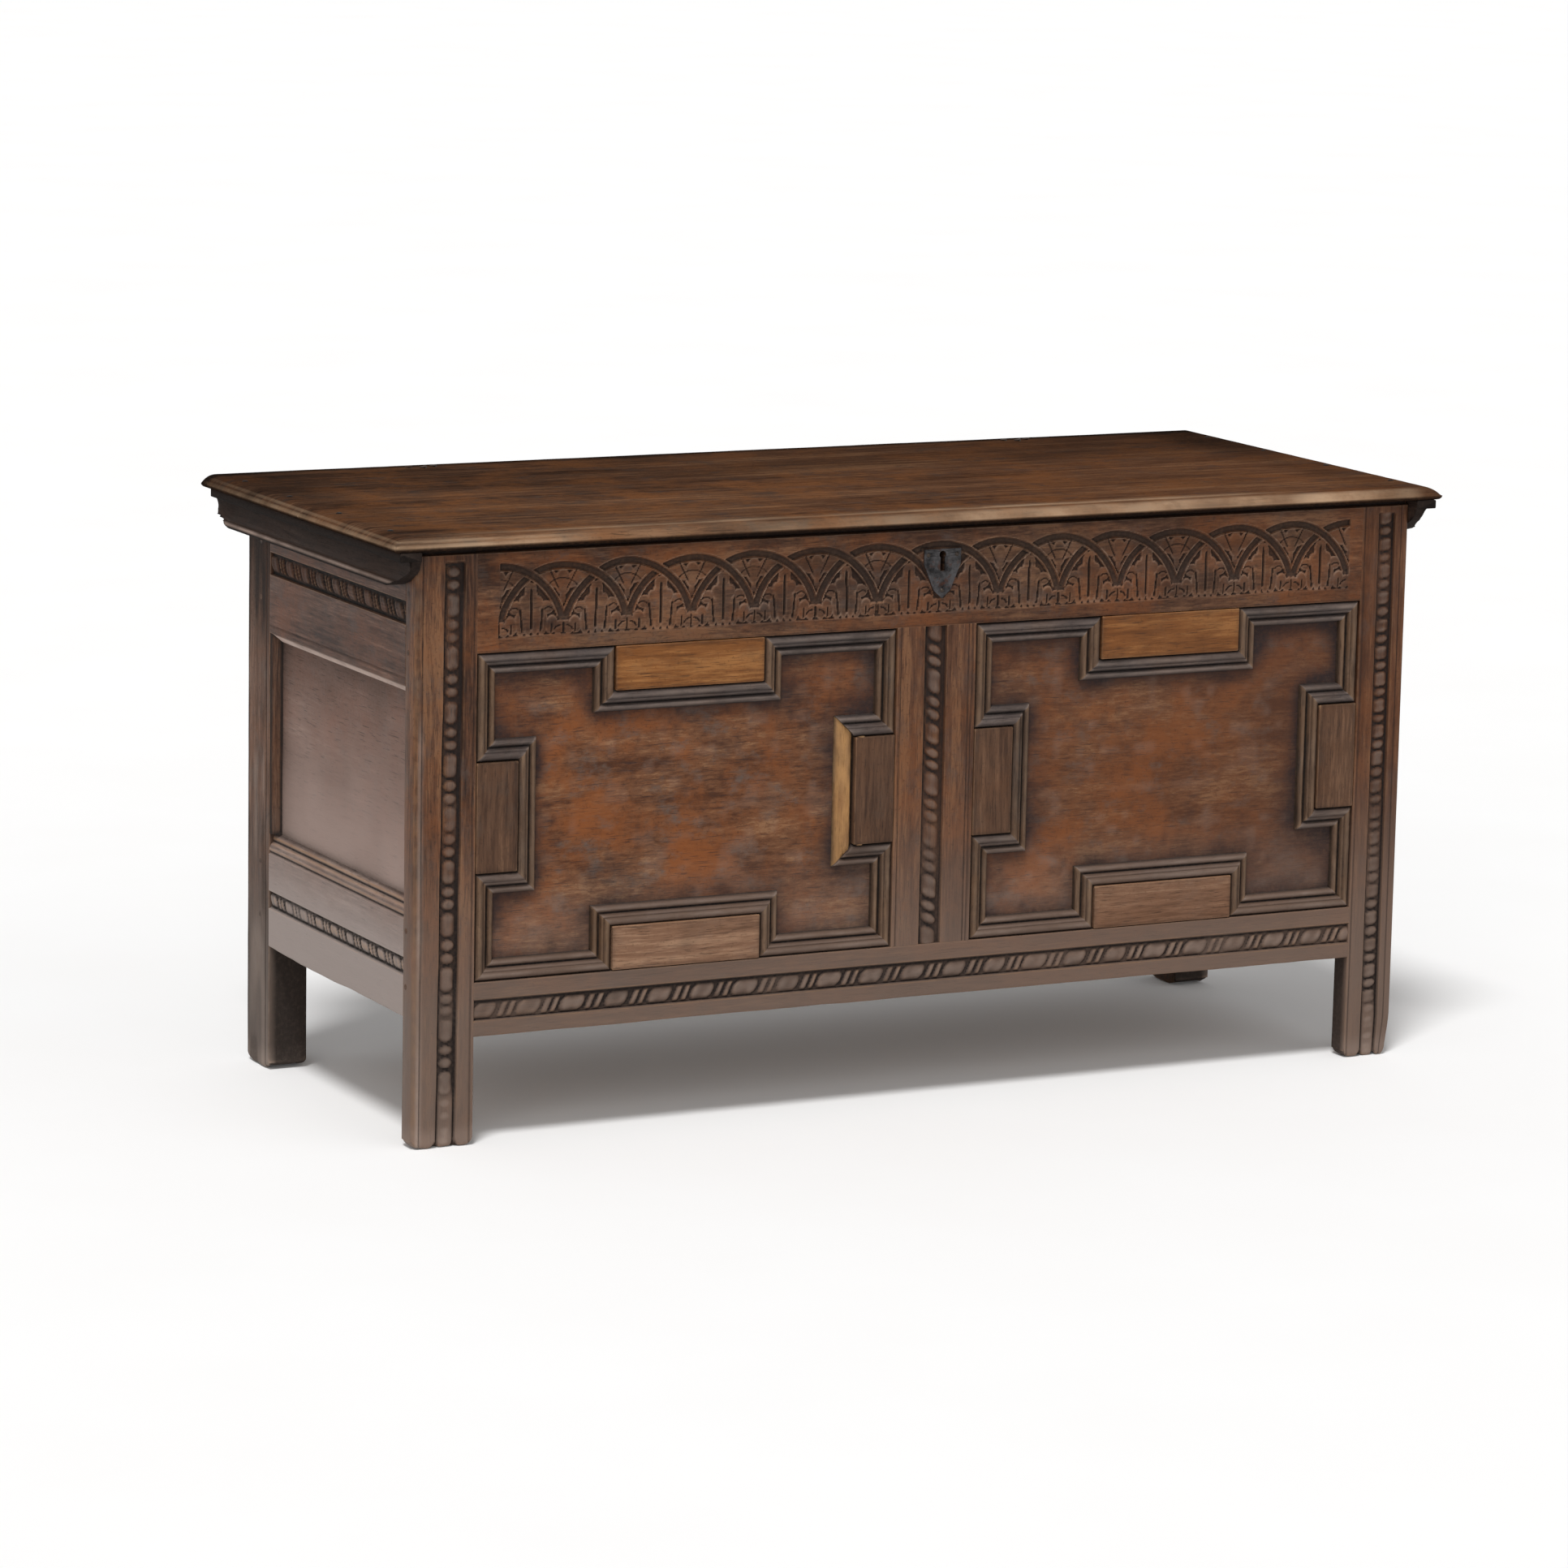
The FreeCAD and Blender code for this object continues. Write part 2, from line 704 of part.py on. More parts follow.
# Sides and back
def rear_stile(side):
    """A rear corner post, left wider beside the side panel."""
    blank = box(side * side_x, side * (side_x - rear_stile_width), rear_stile_front, rear_y, 0, frame_height)
    blank = blank.makeChamfer(foot_bevel, [e for e in blank.Edges if e.BoundBox.ZMax < touch])
    outer = side * (side_x - rear_stile_swell_inset)
    inner = side * (side_x - panel_recess + rear_stile_swell_inset)
    low = side_bottom[1]
    swell = prism([(outer, rear_stile_front, low), (outer, rear_stile_front - rear_stile_swell_shoulder, low),
                   (inner, rear_stile_front - rear_stile_swell, low), (inner, rear_stile_front, low)],
                  (0, 0, side_top[0] - low))
    tools = [back_tenon(side, levels, is_top, joint_clearance) for levels, is_top in BACK_JOINTS]
    tools += [side_tenon(side, False, levels, is_top, joint_clearance) for levels, is_top in SIDE_JOINTS]
    return cut(fused([blank, swell]), tools + back_groove() + side_groove(side) + peg_holes())


def side_rail(side, levels, is_top):
    """A side rail between the stiles, flush outside."""
    inner = side_x - rail_thickness
    parts = [box(side * side_x, side * inner, stile_back, rear_stile_front, levels[0], levels[1]),
             side_tenon(side, True, levels, is_top), side_tenon(side, False, levels, is_top)]
    return cut(fused(parts), side_groove(side) + side_pegs(peg_clearance))


def side_strip(side, base, height):
    """The sunk strip along a side rail."""
    return box(side * (side_x + over), side * (side_x - strip_depth), stile_back, rear_stile_front,
               base, base + height)


def side_top_rail(side):
    """A side top rail, chamfered over the panel."""
    run = rear_stile_front - stile_back
    low = side_top[0]
    outer = side * (side_x + over)
    chamfer = prism([(outer, stile_back, low - over), (outer, stile_back, low + side_rail_chamfer + over),
                     (side * (side_x - side_rail_chamfer - over), stile_back, low - over)], (0, run, 0))
    strip = side_strip(side, low + side_top_strip_margin, side_top_strip_height)
    return cut(side_rail(side, side_top, True), [chamfer, strip])


def side_bottom_rail(side):
    """A side bottom rail, its upper edge run with a stepped moulding."""
    top = side_bottom[1]
    base = top - side_rail_moulding
    outline = [(-over, base)] + [(depth, base + height) for depth, height in side_rail_steps]
    outline += [(panel_recess, top), (panel_recess, top + over), (-over, top + over)]
    run = rear_stile_front - stile_back
    edge = prism([(side * (side_x - depth), stile_back, z) for depth, z in outline], (0, run, 0))
    strip = side_strip(side, side_bottom[0] + side_bottom_strip_margin, side_bottom_strip_height)
    return cut(side_rail(side, side_bottom, False), [edge, strip])


def back_rail(levels, is_top):
    """A plain back rail."""
    edge = side_x - rear_stile_width
    parts = [box(-edge, edge, rear_rail_front, rear_y, levels[0], levels[1])]
    parts += [back_tenon(side, levels, is_top) for side in (-1, 1)]
    joint = levels[0] if is_top else levels[1]
    mortise = muntin_tenon(0, back_muntin_width, rear_y, is_top, joint, joint_clearance)
    nails = frame_leaf_nails(nail_clearance) if is_top else floor_nails(nail_clearance)
    return cut(fused(parts), [mortise] + back_groove() + back_pegs(peg_clearance) + nails)


def floor_board(edges):
    """A floor board: its front end in the rail's groove, its back end under the back rail."""
    x0, x1 = edges
    board = box(x0, x1, front_rail_back - floor_groove_depth + floor_groove_play,
                rear_y - floor_rear_setback, floor_base, floor_top)
    tools = floor_nails(nail_clearance)
    high = floor_top + over
    for side in (-1, 1):
        post = side_x - rear_stile_width - floor_side_gap
        tools.append(box(side * post, side * side_x, rear_stile_front - floor_side_gap, rear_y, 0, high))
        post = abs(front_stile_inner(side)) - floor_side_gap
        tools.append(box(side * post, side * side_x, front_y, stile_back + floor_side_gap, 0, high))
    return cut(board, tools)


# Mouldings on the front panels
def panel_outline(opening):
    """Corners of the field inside the frame and its four blocks, and which corners turn in."""
    x0, x1 = opening[0] + moulding_gap, opening[1] - moulding_gap
    z0, z1 = front_bottom[1] + moulding_gap, front_top[0] - moulding_gap
    cx, cz = (x0 + x1) / 2, (z0 + z1) / 2
    bw, bh = end_block_width / 2 + moulding_gap, end_block_height
    sw, sh = side_block_width, side_block_height / 2 + moulding_gap
    return [(x0, z0, 1), (cx - bw, z0, 1), (cx - bw, z0 + bh, -1), (cx + bw, z0 + bh, -1), (cx + bw, z0, 1),
            (x1, z0, 1), (x1, cz - sh, 1), (x1 - sw, cz - sh, -1), (x1 - sw, cz + sh, -1), (x1, cz + sh, 1),
            (x1, z1, 1), (cx + bw, z1, 1), (cx + bw, z1 - bh, -1), (cx - bw, z1 - bh, -1), (cx - bw, z1, 1),
            (x0, z1, 1), (x0, cz + sh, 1), (x0 + sw, cz + sh, -1), (x0 + sw, cz - sh, -1), (x0, cz - sh, 1)]


def mitred_strip(start, end, profile):
    """One length of moulding between two corners, mitred at both ends."""
    x0, z0, turn0 = start
    x1, z1, turn1 = end
    length = math.hypot(x1 - x0, z1 - z0)
    along = Vector((x1 - x0) / length, 0, (z1 - z0) / length)
    inward = Vector(-along.z, 0, along.x)
    face = front_y + panel_recess
    near, far = [], []
    for u, v in profile:
        across = u * moulding_width
        foot = Vector(x0, face - v * moulding_height, z0) + inward * across
        near.append(foot + along * (turn0 * across))
        far.append(foot + along * (length - turn1 * across))
    count = len(profile)
    faces = [Part.Face(Part.makePolygon(ring + ring[:1])) for ring in (near, far)]
    for i in range(count):
        j = (i + 1) % count
        quad = [near[i], near[j], far[j], far[i], near[i]]
        faces.append(Part.Face(Part.makePolygon(quad)))
    solid = Part.Solid(Part.Shell(faces))
    solid.fixTolerance(1e-7)
    return solid if solid.Volume > 0 else solid.reversed()


def mouldings(opening):
    """The twenty lengths round one panel, in order round the outline."""
    corners = panel_outline(opening)
    return [(corners[i], corners[(i + 1) % len(corners)]) for i in range(len(corners))]


def is_notch(start, end):
    """True for a length that goes round a block."""
    return start[2] * end[2] < 0 or start[2] + end[2] < 0


def edge_mouldings(opening):
    """The eight lengths beside the frame."""
    return [mitred_strip(a, b, reeded_section) for a, b in mouldings(opening) if not is_notch(a, b)]


def notch_runs(opening):
    """Both corners of each length that goes round a block."""
    return [pair for pair in mouldings(opening) if is_notch(*pair)]


def notch_mouldings(opening, skip=None):
    """The lengths round the blocks, but for one that is kept apart."""
    return [mitred_strip(a, b, reeded_section) for i, (a, b) in enumerate(notch_runs(opening)) if i != skip]


def worn_moulding(opening, index):
    """The length that has lost its reeds and shows bare wood."""
    start, end = notch_runs(opening)[index]
    return mitred_strip(start, end, worn_section)


def block(opening, place):
    """A small flat block in one notch of the mouldings."""
    x0, x1 = opening[0] + moulding_gap, opening[1] - moulding_gap
    z0, z1 = front_bottom[1] + moulding_gap, front_top[0] - moulding_gap
    cx, cz = (x0 + x1) / 2, (z0 + z1) / 2
    is_end = place in ("top", "bottom")
    w, h = (end_block_width, end_block_height) if is_end else (side_block_width, side_block_height)
    inset = moulding_gap / 2
    spans = {"top": (cx - w / 2, cx + w / 2, z1 - h + inset, z1),
             "bottom": (cx - w / 2, cx + w / 2, z0, z0 + h - inset),
             "left": (x0, x0 + w - inset, cz - h / 2, cz + h / 2),
             "right": (x1 - w + inset, x1, cz - h / 2, cz + h / 2)}
    a, b, c, d = spans[place]
    face = front_y + panel_recess
    shape = box(a, b, face - block_height, face, c, d)
    front_edges = [e for e in shape.Edges if e.BoundBox.YMax < face - block_height + touch]
    return shape.makeChamfer(block_bevel, front_edges)


# Lid
def tangent_arc(flat_end, tip, rounding):
    """An arc in the YZ plane that leaves a level face at flat_end and reaches tip.

    rounding is +1 where the arc lies below the level face, -1 where it lies above.
    """
    run = flat_end.y - tip.y
    drop = (flat_end.z - tip.z) * rounding
    radius = (run * run + drop * drop) / (2 * drop)
    half_turn = math.atan2(run, radius - drop) / 2
    middle = Vector(0, flat_end.y - radius * math.sin(half_turn),
                    flat_end.z - rounding * radius * (1 - math.cos(half_turn)))
    return Part.Arc(flat_end, middle, tip).toShape()


def nosed_slab(run, reach):
    """A slab as thick as the lid whose -Y edge is nosed: run along X, reach along Y."""
    top, low = frame_height + lid_thickness, frame_height
    tip = Vector(0, 0, top - nose_drop)
    above, under = Vector(0, nose_width, top), Vector(0, lid_thickness - nose_drop, low)
    edges = [tangent_arc(above, tip, 1), tangent_arc(under, tip, -1),
             Part.makeLine(under, Vector(0, reach, low)),
             Part.makeLine(Vector(0, reach, low), Vector(0, reach, top)),
             Part.makeLine(Vector(0, reach, top), above)]
    slab = Part.Face(Part.Wire(Part.__sortEdges__(edges))).extrude(Vector(run, 0, 0))
    slab.translate(Vector(-run / 2, 0, 0))
    return slab


def lid_envelope():
    """The whole lid between its two nosed ends."""
    half = nosed_slab(lid_depth + 2 * over, lid_width / 2)
    half.rotate(Vector(0, 0, 0), Vector(0, 0, 1), -90)
    half.translate(Vector(-lid_width / 2, 0, 0))
    return fused([half, mirrored(half)])


def lid_front_board():
    """The front plank, nosed on its front and ends, with a line scratched behind the nose."""
    slab = nosed_slab(lid_width + 2 * over, front_board_depth - board_joint_gap / 2)
    slab.translate(Vector(0, lid_front, 0))
    board = slab.common(lid_envelope())
    top = frame_height + lid_thickness
    setback = scratch_line_setback
    line = box(-lid_width / 2 + setback, lid_width / 2 - setback, lid_front + setback,
               lid_front + setback + scratch_line_width, top - scratch_line_depth, top + over)
    return cut(board, [line] + cleat_nails(nail_clearance) + staple_nails(nail_clearance))


def lid_rear_board():
    """The rear plank, square at the back."""
    half = lid_width / 2 + over
    slab = box(-half, half, lid_front + front_board_depth + board_joint_gap / 2, lid_rear, frame_height,
               frame_height + lid_thickness)
    return cut(slab.common(lid_envelope()), cleat_nails(nail_clearance) + lid_leaf_nails(nail_clearance))


def straight_edges(points):
    """Straight edges from each point to the next."""
    return [Part.makeLine(a, b) for a, b in zip(points, points[1:])]


def cleat(side):
    """A moulded batten under one end of the lid, its ends raked back under a square fillet."""
    inner = side_x + cleat_side_gap
    outer = side_x + lid_end_overhang - cleat_inset
    step = outer - cleat_step
    top, low = frame_height, frame_height - cleat_height
    fillet_low = top - cleat_fillet
    lip_top = low + 2 * cleat_lip_radius
    lip_face = step + cleat_lip_offset
    front, rear = lid_front + cleat_end_setback, lid_rear - cleat_rear_setback

    def at(x, z):
        return Vector(x, front, z)

    cove = Part.Arc(at(step, fillet_low), at(step - cleat_cove, (fillet_low + lip_top) / 2),
                    at(lip_face, lip_top))
    lip = Part.Arc(at(lip_face, lip_top), at(lip_face + cleat_lip_radius, low + cleat_lip_radius),
                   at(lip_face, low))
    edges = straight_edges([at(inner, top), at(outer, top), at(outer, fillet_low), at(step, fillet_low)])
    edges += [cove.toShape(), lip.toShape()]
    edges += straight_edges([at(lip_face, low), at(inner, low), at(inner, top)])
    body = Part.Face(Part.Wire(edges)).extrude(Vector(0, rear - front, 0))
    body = cut(body, [raked_end(end, inward, inner, outer, fillet_low, low)
                      for end, inward in ((front, 1), (rear, -1))])
    body = body if side > 0 else mirrored(body)
    return cut(body, cleat_nails(nail_clearance))


def raked_end(end, inward, inner, outer, high, low):
    """The hollow cut that shortens a cleat below its fillet."""
    waist_run, waist_rise = cleat_rake_waist

    def at(back, z):
        return Vector(inner - over, end + inward * back, z)

    waist = at(cleat_rake * waist_run, low + (high - low) * waist_rise)
    arc = Part.Arc(at(cleat_rake_start, high), waist, at(cleat_rake, low)).toShape()
    lines = straight_edges([at(cleat_rake, low), at(cleat_rake, low - over), at(-over, low - over),
                            at(-over, high), at(cleat_rake_start, high)])
    return Part.Face(Part.Wire([arc] + lines)).extrude(Vector(outer - inner + 2 * over, 0, 0))


# Hinges: a flared leaf on the back rail, a flared leaf under the lid, a loose pin
def knuckle(x0, x1, bore_radius):
    """A length of hinge barrel round the pin."""
    barrel = rod((x0, hinge_y, hinge_z), (1, 0, 0), knuckle_radius, x1 - x0)
    bore = rod((x0 - over, hinge_y, hinge_z), (1, 0, 0), bore_radius, x1 - x0 + 2 * over)
    return barrel, bore


def flared_plate(x, length):
    """A dovetail shaped leaf lying flat, its narrow root at y = 0."""
    root, tip = leaf_root_width / 2, leaf_tip_width / 2
    return prism([(x - root, 0, 0), (x + root, 0, 0), (x + tip, length, 0), (x - tip, length, 0)],
                 (0, 0, hinge_plate))


def frame_leaf(x):
    """The leaf nailed to the back of the chest, with the two outer knuckles."""
    plate = flared_plate(x, frame_leaf_length)
    plate.rotate(Vector(x, 0, 0), Vector(1, 0, 0), -90)
    plate.translate(Vector(0, rear_y + hinge_seat_gap, hinge_z))
    slot = knuckle_length / 2 + knuckle_gap
    half = 1.5 * knuckle_length + knuckle_gap
    bore = hinge_pin_radius + nail_clearance
    left, left_bore = knuckle(x - half, x - slot, bore)
    right, right_bore = knuckle(x + slot, x + half, bore)
    relief = rod((x - slot, hinge_y, hinge_z), (1, 0, 0), knuckle_radius + knuckle_gap, 2 * slot)
    shape = fused([plate.cut(relief), left, right])
    return cut(shape, [left_bore, right_bore] + frame_leaf_nails(nail_clearance))


def lid_leaf(x):
    """The leaf nailed under the lid, with the middle knuckle."""
    plate = flared_plate(x, lid_leaf_length)
    plate.translate(Vector(0, hinge_y, frame_height - hinge_seat_gap - hinge_plate))
    slot = knuckle_length / 2
    barrel, bore = knuckle(x - slot, x + slot, hinge_pin_radius + hinge_running_gap)
    reliefs = []
    for x0, x1 in ((x - 2 * knuckle_length, x - slot), (x + slot, x + 2 * knuckle_length)):
        reliefs.append(rod((x0, hinge_y, hinge_z), (1, 0, 0), knuckle_radius + knuckle_gap, x1 - x0))
    body = fused([plate.cut(Part.makeCompound(reliefs)), barrel])
    return cut(body, [bore] + lid_leaf_nails(nail_clearance))


def hinge_pin(x):
    """The pin through the three knuckles, with a small head."""
    half = 1.5 * knuckle_length + knuckle_gap
    pin = rod((x - half, hinge_y, hinge_z), (1, 0, 0), hinge_pin_radius, 2 * half + hinge_pin_end)
    head = rod((x - half - hinge_pin_head, hinge_y, hinge_z), (1, 0, 0), hinge_pin_head_radius,
               hinge_pin_head)
    return fused([pin, head])


# Lock
def staple_box(grow):
    """The space that the staple's loop takes under the lid."""
    half_x = staple_thickness / 2 + grow
    half_y = staple_width / 2 + grow
    return box(lock_offset - half_x, lock_offset + half_x, staple_y - half_y, staple_y + half_y,
               frame_height - staple_reach - grow, frame_height)


def bolt_channel(x0, x1):
    """The straight space that the bolt slides through."""
    half_y = bolt_thickness / 2 + bolt_running_gap
    half_z = bolt_height / 2 + bolt_running_gap
    return box(x0, x1, staple_y - half_y, staple_y + half_y, bolt_z - half_z, bolt_z + half_z)


def bolt_guide(x0):
    """A cross wall of the case with the bolt's channel through it."""
    x1 = x0 + guide_length
    wall = box(x0, x1, front_rail_back + lock_wall, lock_back - lock_wall, bolt_z - bolt_height,
               bolt_z + bolt_height)
    return wall.cut(bolt_channel(x0 - over, x1 + over))


def lock_case():
    """The iron box on the inside of the top rail, with its flange, guides and top slot."""
    x0, x1 = lock_offset - lock_width / 2, lock_offset + lock_width / 2
    low = lock_top - lock_height
    inner_y = front_rail_back + lock_wall
    outside = box(x0, x1, front_rail_back, lock_back, low, lock_top)
    flange = box(x0 - lock_flange, x1 + lock_flange, front_rail_back, inner_y, low, lock_top)
    inside = box(x0 + lock_wall, x1 - lock_wall, inner_y, lock_back - lock_wall, low + lock_wall,
                 lock_top - lock_wall)
    shell = cut(fused([outside, flange]),
                [inside, staple_box(staple_slot_gap), keyhole(front_rail_back - over, inner_y + over)])
    beside_slot = staple_thickness / 2 + staple_slot_gap + guide_margin
    guides = [bolt_guide(bolt_home + guide_margin), bolt_guide(lock_offset - beside_slot - guide_length),
              bolt_guide(lock_offset + beside_slot)]
    post = rod((lock_offset, inner_y, keyhole_z), (0, 1, 0), key_post_radius, lock_depth - 2 * lock_wall)
    return cut(fused([shell] + guides + [post]), lock_nails(nail_clearance))


def lock_bolt():
    """The sliding bolt, with the notched foot that the key pushes and a thinner nose."""
    half_y, half_z = bolt_thickness / 2, bolt_height / 2
    end = bolt_home + bolt_length
    bar = box(bolt_home, end, staple_y - half_y, staple_y + half_y, bolt_z - half_z, bolt_z + half_z)
    foot_x = bolt_home + guide_length + bolt_foot_gap + half_z
    foot = prism([(foot_x - half_z, staple_y - half_y, bolt_z - half_z),
                  (foot_x + half_z, staple_y - half_y, bolt_z - half_z),
                  (foot_x + half_y, staple_y - half_y, bolt_z - bolt_foot_reach),
                  (foot_x - half_y, staple_y - half_y, bolt_z - bolt_foot_reach)], (0, bolt_thickness, 0))
    trims = [box(end - bolt_travel, end + over, staple_y - bolt_thickness, staple_y + bolt_thickness,
                 bolt_z + sign * half_z, bolt_z + sign * (half_z - bolt_nose_trim)) for sign in (-1, 1)]
    return cut(fused([bar, foot]), trims)


def lock_spring():
    """The flat spring that bears on the top of the bolt."""
    high = lock_top - lock_wall
    low = bolt_z + bolt_height / 2 + spring_gap
    x0 = bolt_home + guide_length + 2 * spring_width
    x1 = x0 + spring_run
    points = [(x0, high), (x0 + spring_width, high), (x1 - spring_width, low + spring_thickness),
              (x1, low + spring_thickness), (x1, low), (x1 - spring_width, low),
              (x0 + spring_width, high - spring_thickness), (x0, high - spring_thickness)]
    return prism([(x, staple_y - spring_width / 2, z) for x, z in points], (0, spring_width, 0))


def staple_nails(grow=0.0):
    """The two nails of the staple's plate."""
    length, _, thick = staple_plate
    reach = length / 2 - 2 * small_nail[0]
    return [nail((lock_offset + s * reach, staple_y, frame_height - thick), (0, 0, 1), small_nail, grow)
            for s in (-1, 1)]


def lid_staple():
    """The iron loop under the lid that drops into the lock."""
    length, width, thick = staple_plate
    plate = box(lock_offset - length / 2, lock_offset + length / 2, staple_y - width / 2,
                staple_y + width / 2, frame_height - thick, frame_height)
    eye_width, eye_height = staple_eye
    eye = box(lock_offset - staple_thickness, lock_offset + staple_thickness, staple_y - eye_width / 2,
              staple_y + eye_width / 2, bolt_z - eye_height / 2, bolt_z + eye_height / 2)
    return cut(fused([plate, staple_box(0)]), [eye] + staple_nails(nail_clearance))


def escutcheon():
    """The iron shield round the keyhole."""
    low = escutcheon_top - escutcheon_height
    y = front_y - escutcheon_thickness
    wide, narrow = escutcheon_width / 2, escutcheon_waist / 2
    half_outline = [(wide, escutcheon_top), (wide, escutcheon_top - escutcheon_shoulder),
                    (narrow, low + escutcheon_point)]
    points = [(lock_offset + half, y, z) for half, z in half_outline] + [(lock_offset, y, low)]
    points += [(lock_offset - half, y, z) for half, z in reversed(half_outline)]
    plate = prism(points, (0, escutcheon_thickness, 0))
    return cut(plate, [keyhole(y - over, front_y + over)] + lock_nails(nail_clearance))


# Build every node
def build_frame():
    """The box: stiles, rails, muntins, panels, pegs and floor."""
    for side, name in ((-1, "left"), (1, "right")):
        save("front_" + name + "_stile", front_stile(side))
        save("rear_" + name + "_stile", rear_stile(side))
        save(name + "_side_top_rail", side_top_rail(side))
        save(name + "_side_bottom_rail", side_bottom_rail(side))
        save(name + "_side_panel", side_panel(side))
    save("front_top_rail", front_top_rail())
    save("front_bottom_rail", front_bottom_rail())
    save("front_muntin", front_muntin())
    save("back_top_rail", back_rail(back_top, True))
    save("back_bottom_rail", back_rail(back_bottom, False))
    save("back_muntin", muntin(0, back_muntin_width, rear_y, back_bottom[1], back_top[0], back_groove(),
                               back_pegs(peg_clearance)))
    for name, front, back in zip(("left", "right"), front_openings(), back_openings()):
        save("front_" + name + "_panel", front_panel(front))
        save("back_" + name + "_panel", back_panel(back))
    for number, edges in enumerate(floor_edges(), 1):
        save("floor_board_" + str(number), floor_board(edges))
    save("front_frame_pegs", *front_pegs())
    save("side_frame_pegs", *side_pegs())
    save("back_frame_pegs", *back_pegs())
    save("floor_nails", *floor_nails())


def build_front_mouldings():
    """The mouldings and blocks planted on the front panels."""
    left, right = front_openings()
    save("left_panel_edge_mouldings", *edge_mouldings(left))
    save("left_panel_notch_mouldings", *notch_mouldings(left, worn_run))
    save("left_panel_worn_moulding", worn_moulding(left, worn_run))
    save("right_panel_edge_mouldings", *edge_mouldings(right))
    save("right_panel_notch_mouldings", *notch_mouldings(right))
    for name, opening in (("left", left), ("right", right)):
        for place in ("top", "bottom", "left", "right"):
            save(name + "_panel_" + place + "_block", block(opening, place))


def build_lid():
    """The lid: two planks, two cleats and their nails."""
    save("lid_front_board", lid_front_board())
    save("lid_rear_board", lid_rear_board())
    save("left_lid_cleat", cleat(-1))
    save("right_lid_cleat", cleat(1))
    save("cleat_nails", *cleat_nails())


def build_ironwork():
    """Hinges and lock."""
    for side, name in ((-1, "left"), (1, "right")):
        x = side * hinge_offset
        save(name + "_hinge_frame_leaf", frame_leaf(x))
        save(name + "_hinge_lid_leaf", lid_leaf(x))
        save(name + "_hinge_pin", hinge_pin(x))
    save("hinge_frame_nails", *frame_leaf_nails())
    save("lid_iron_nails", *lid_leaf_nails(), *staple_nails())
    save("escutcheon", escutcheon())
    save("lock_case", lock_case())
    save("lock_bolt", lock_bolt())
    save("lock_spring", lock_spring())
    save("lock_nails", *lock_nails())
    save("lid_staple", lid_staple())


os.makedirs("parts", exist_ok=True)
build_frame()
build_front_mouldings()
build_lid()
build_ironwork()
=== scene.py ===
import math

import bpy
import numpy as np
from mathutils import Matrix, Vector


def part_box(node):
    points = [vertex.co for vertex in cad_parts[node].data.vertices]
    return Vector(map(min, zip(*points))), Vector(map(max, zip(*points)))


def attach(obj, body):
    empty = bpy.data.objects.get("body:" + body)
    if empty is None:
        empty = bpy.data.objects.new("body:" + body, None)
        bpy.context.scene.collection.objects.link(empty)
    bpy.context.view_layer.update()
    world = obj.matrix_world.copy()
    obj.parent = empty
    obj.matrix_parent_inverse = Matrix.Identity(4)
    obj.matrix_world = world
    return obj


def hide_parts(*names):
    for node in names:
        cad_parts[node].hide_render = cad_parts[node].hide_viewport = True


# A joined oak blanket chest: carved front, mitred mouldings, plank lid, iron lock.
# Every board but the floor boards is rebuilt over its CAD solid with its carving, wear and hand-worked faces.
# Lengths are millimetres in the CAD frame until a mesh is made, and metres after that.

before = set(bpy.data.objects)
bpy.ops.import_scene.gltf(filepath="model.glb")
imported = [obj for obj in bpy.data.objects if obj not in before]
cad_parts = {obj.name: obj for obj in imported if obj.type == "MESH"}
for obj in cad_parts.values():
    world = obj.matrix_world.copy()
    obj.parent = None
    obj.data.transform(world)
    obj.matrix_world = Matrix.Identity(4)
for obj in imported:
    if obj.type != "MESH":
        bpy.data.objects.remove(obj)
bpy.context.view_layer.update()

MM = 0.001


# Places read from the frame
def span(node):
    """A node's lowest and highest corner in millimetres."""
    low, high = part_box(node)
    return np.array(low) / MM, np.array(high) / MM


left_stile, right_stile = span("front_left_stile"), span("front_right_stile")
rear_stile = span("rear_right_stile")
top_rail, bottom_rail = span("front_top_rail"), span("front_bottom_rail")
muntin = span("front_muntin")
side_top, side_bottom = span("right_side_top_rail"), span("right_side_bottom_rail")
back_top, back_bottom = span("back_top_rail"), span("back_bottom_rail")
back_muntin = span("back_muntin")
front_board, rear_board = span("lid_front_board"), span("lid_rear_board")
cleat_box = span("right_lid_cleat")
shield = span("escutcheon")

FRONT = left_stile[0][1]
STILE_BACK = left_stile[1][1]
RAIL_BACK = top_rail[1][1]
REAR = rear_stile[1][1]
REAR_FRONT = rear_stile[0][1]
BACK_FRONT = back_top[0][1]
SIDE = right_stile[1][0]
SIDE_BACK = SIDE - (RAIL_BACK - FRONT)
POST_INNER = rear_stile[0][0]
OPENING_LEFT, OPENING_RIGHT = left_stile[1][0], right_stile[0][0]
RIM = top_rail[1][2]
PANEL_FACE = span("left_panel_top_block")[1][1]
SIDE_PANEL_FACE = SIDE - (PANEL_FACE - FRONT)
OPENINGS = {"left": (OPENING_LEFT, muntin[0][0]), "right": (muntin[1][0], OPENING_RIGHT)}
OPENING_LOW, OPENING_HIGH = bottom_rail[1][2], top_rail[0][2]


# Number fields
def unit(value):
    """A value kept between 0 and 1."""
    return np.clip(value, 0, 1)


def smooth(value, low, high):
    """0 below low, 1 above high, and a soft step between them."""
    share = unit((value - low) / (high - low))
    return share * share * (3 - 2 * share)


def window(value, low, high, rise, fall):
    """1 between low and high and 0 outside, with soft steps just inside them."""
    return smooth(value, low, low + rise) * smooth(high - value, 0, fall)


def bell(distance, width):
    """1 at no distance, fading out over a width."""
    return np.exp(-(distance / width) ** 2)


def mixed(a, b, share):
    """a where share is 0, b where it is 1."""
    return a * (1 - share) + b * share


TABLE_SIDE = 64


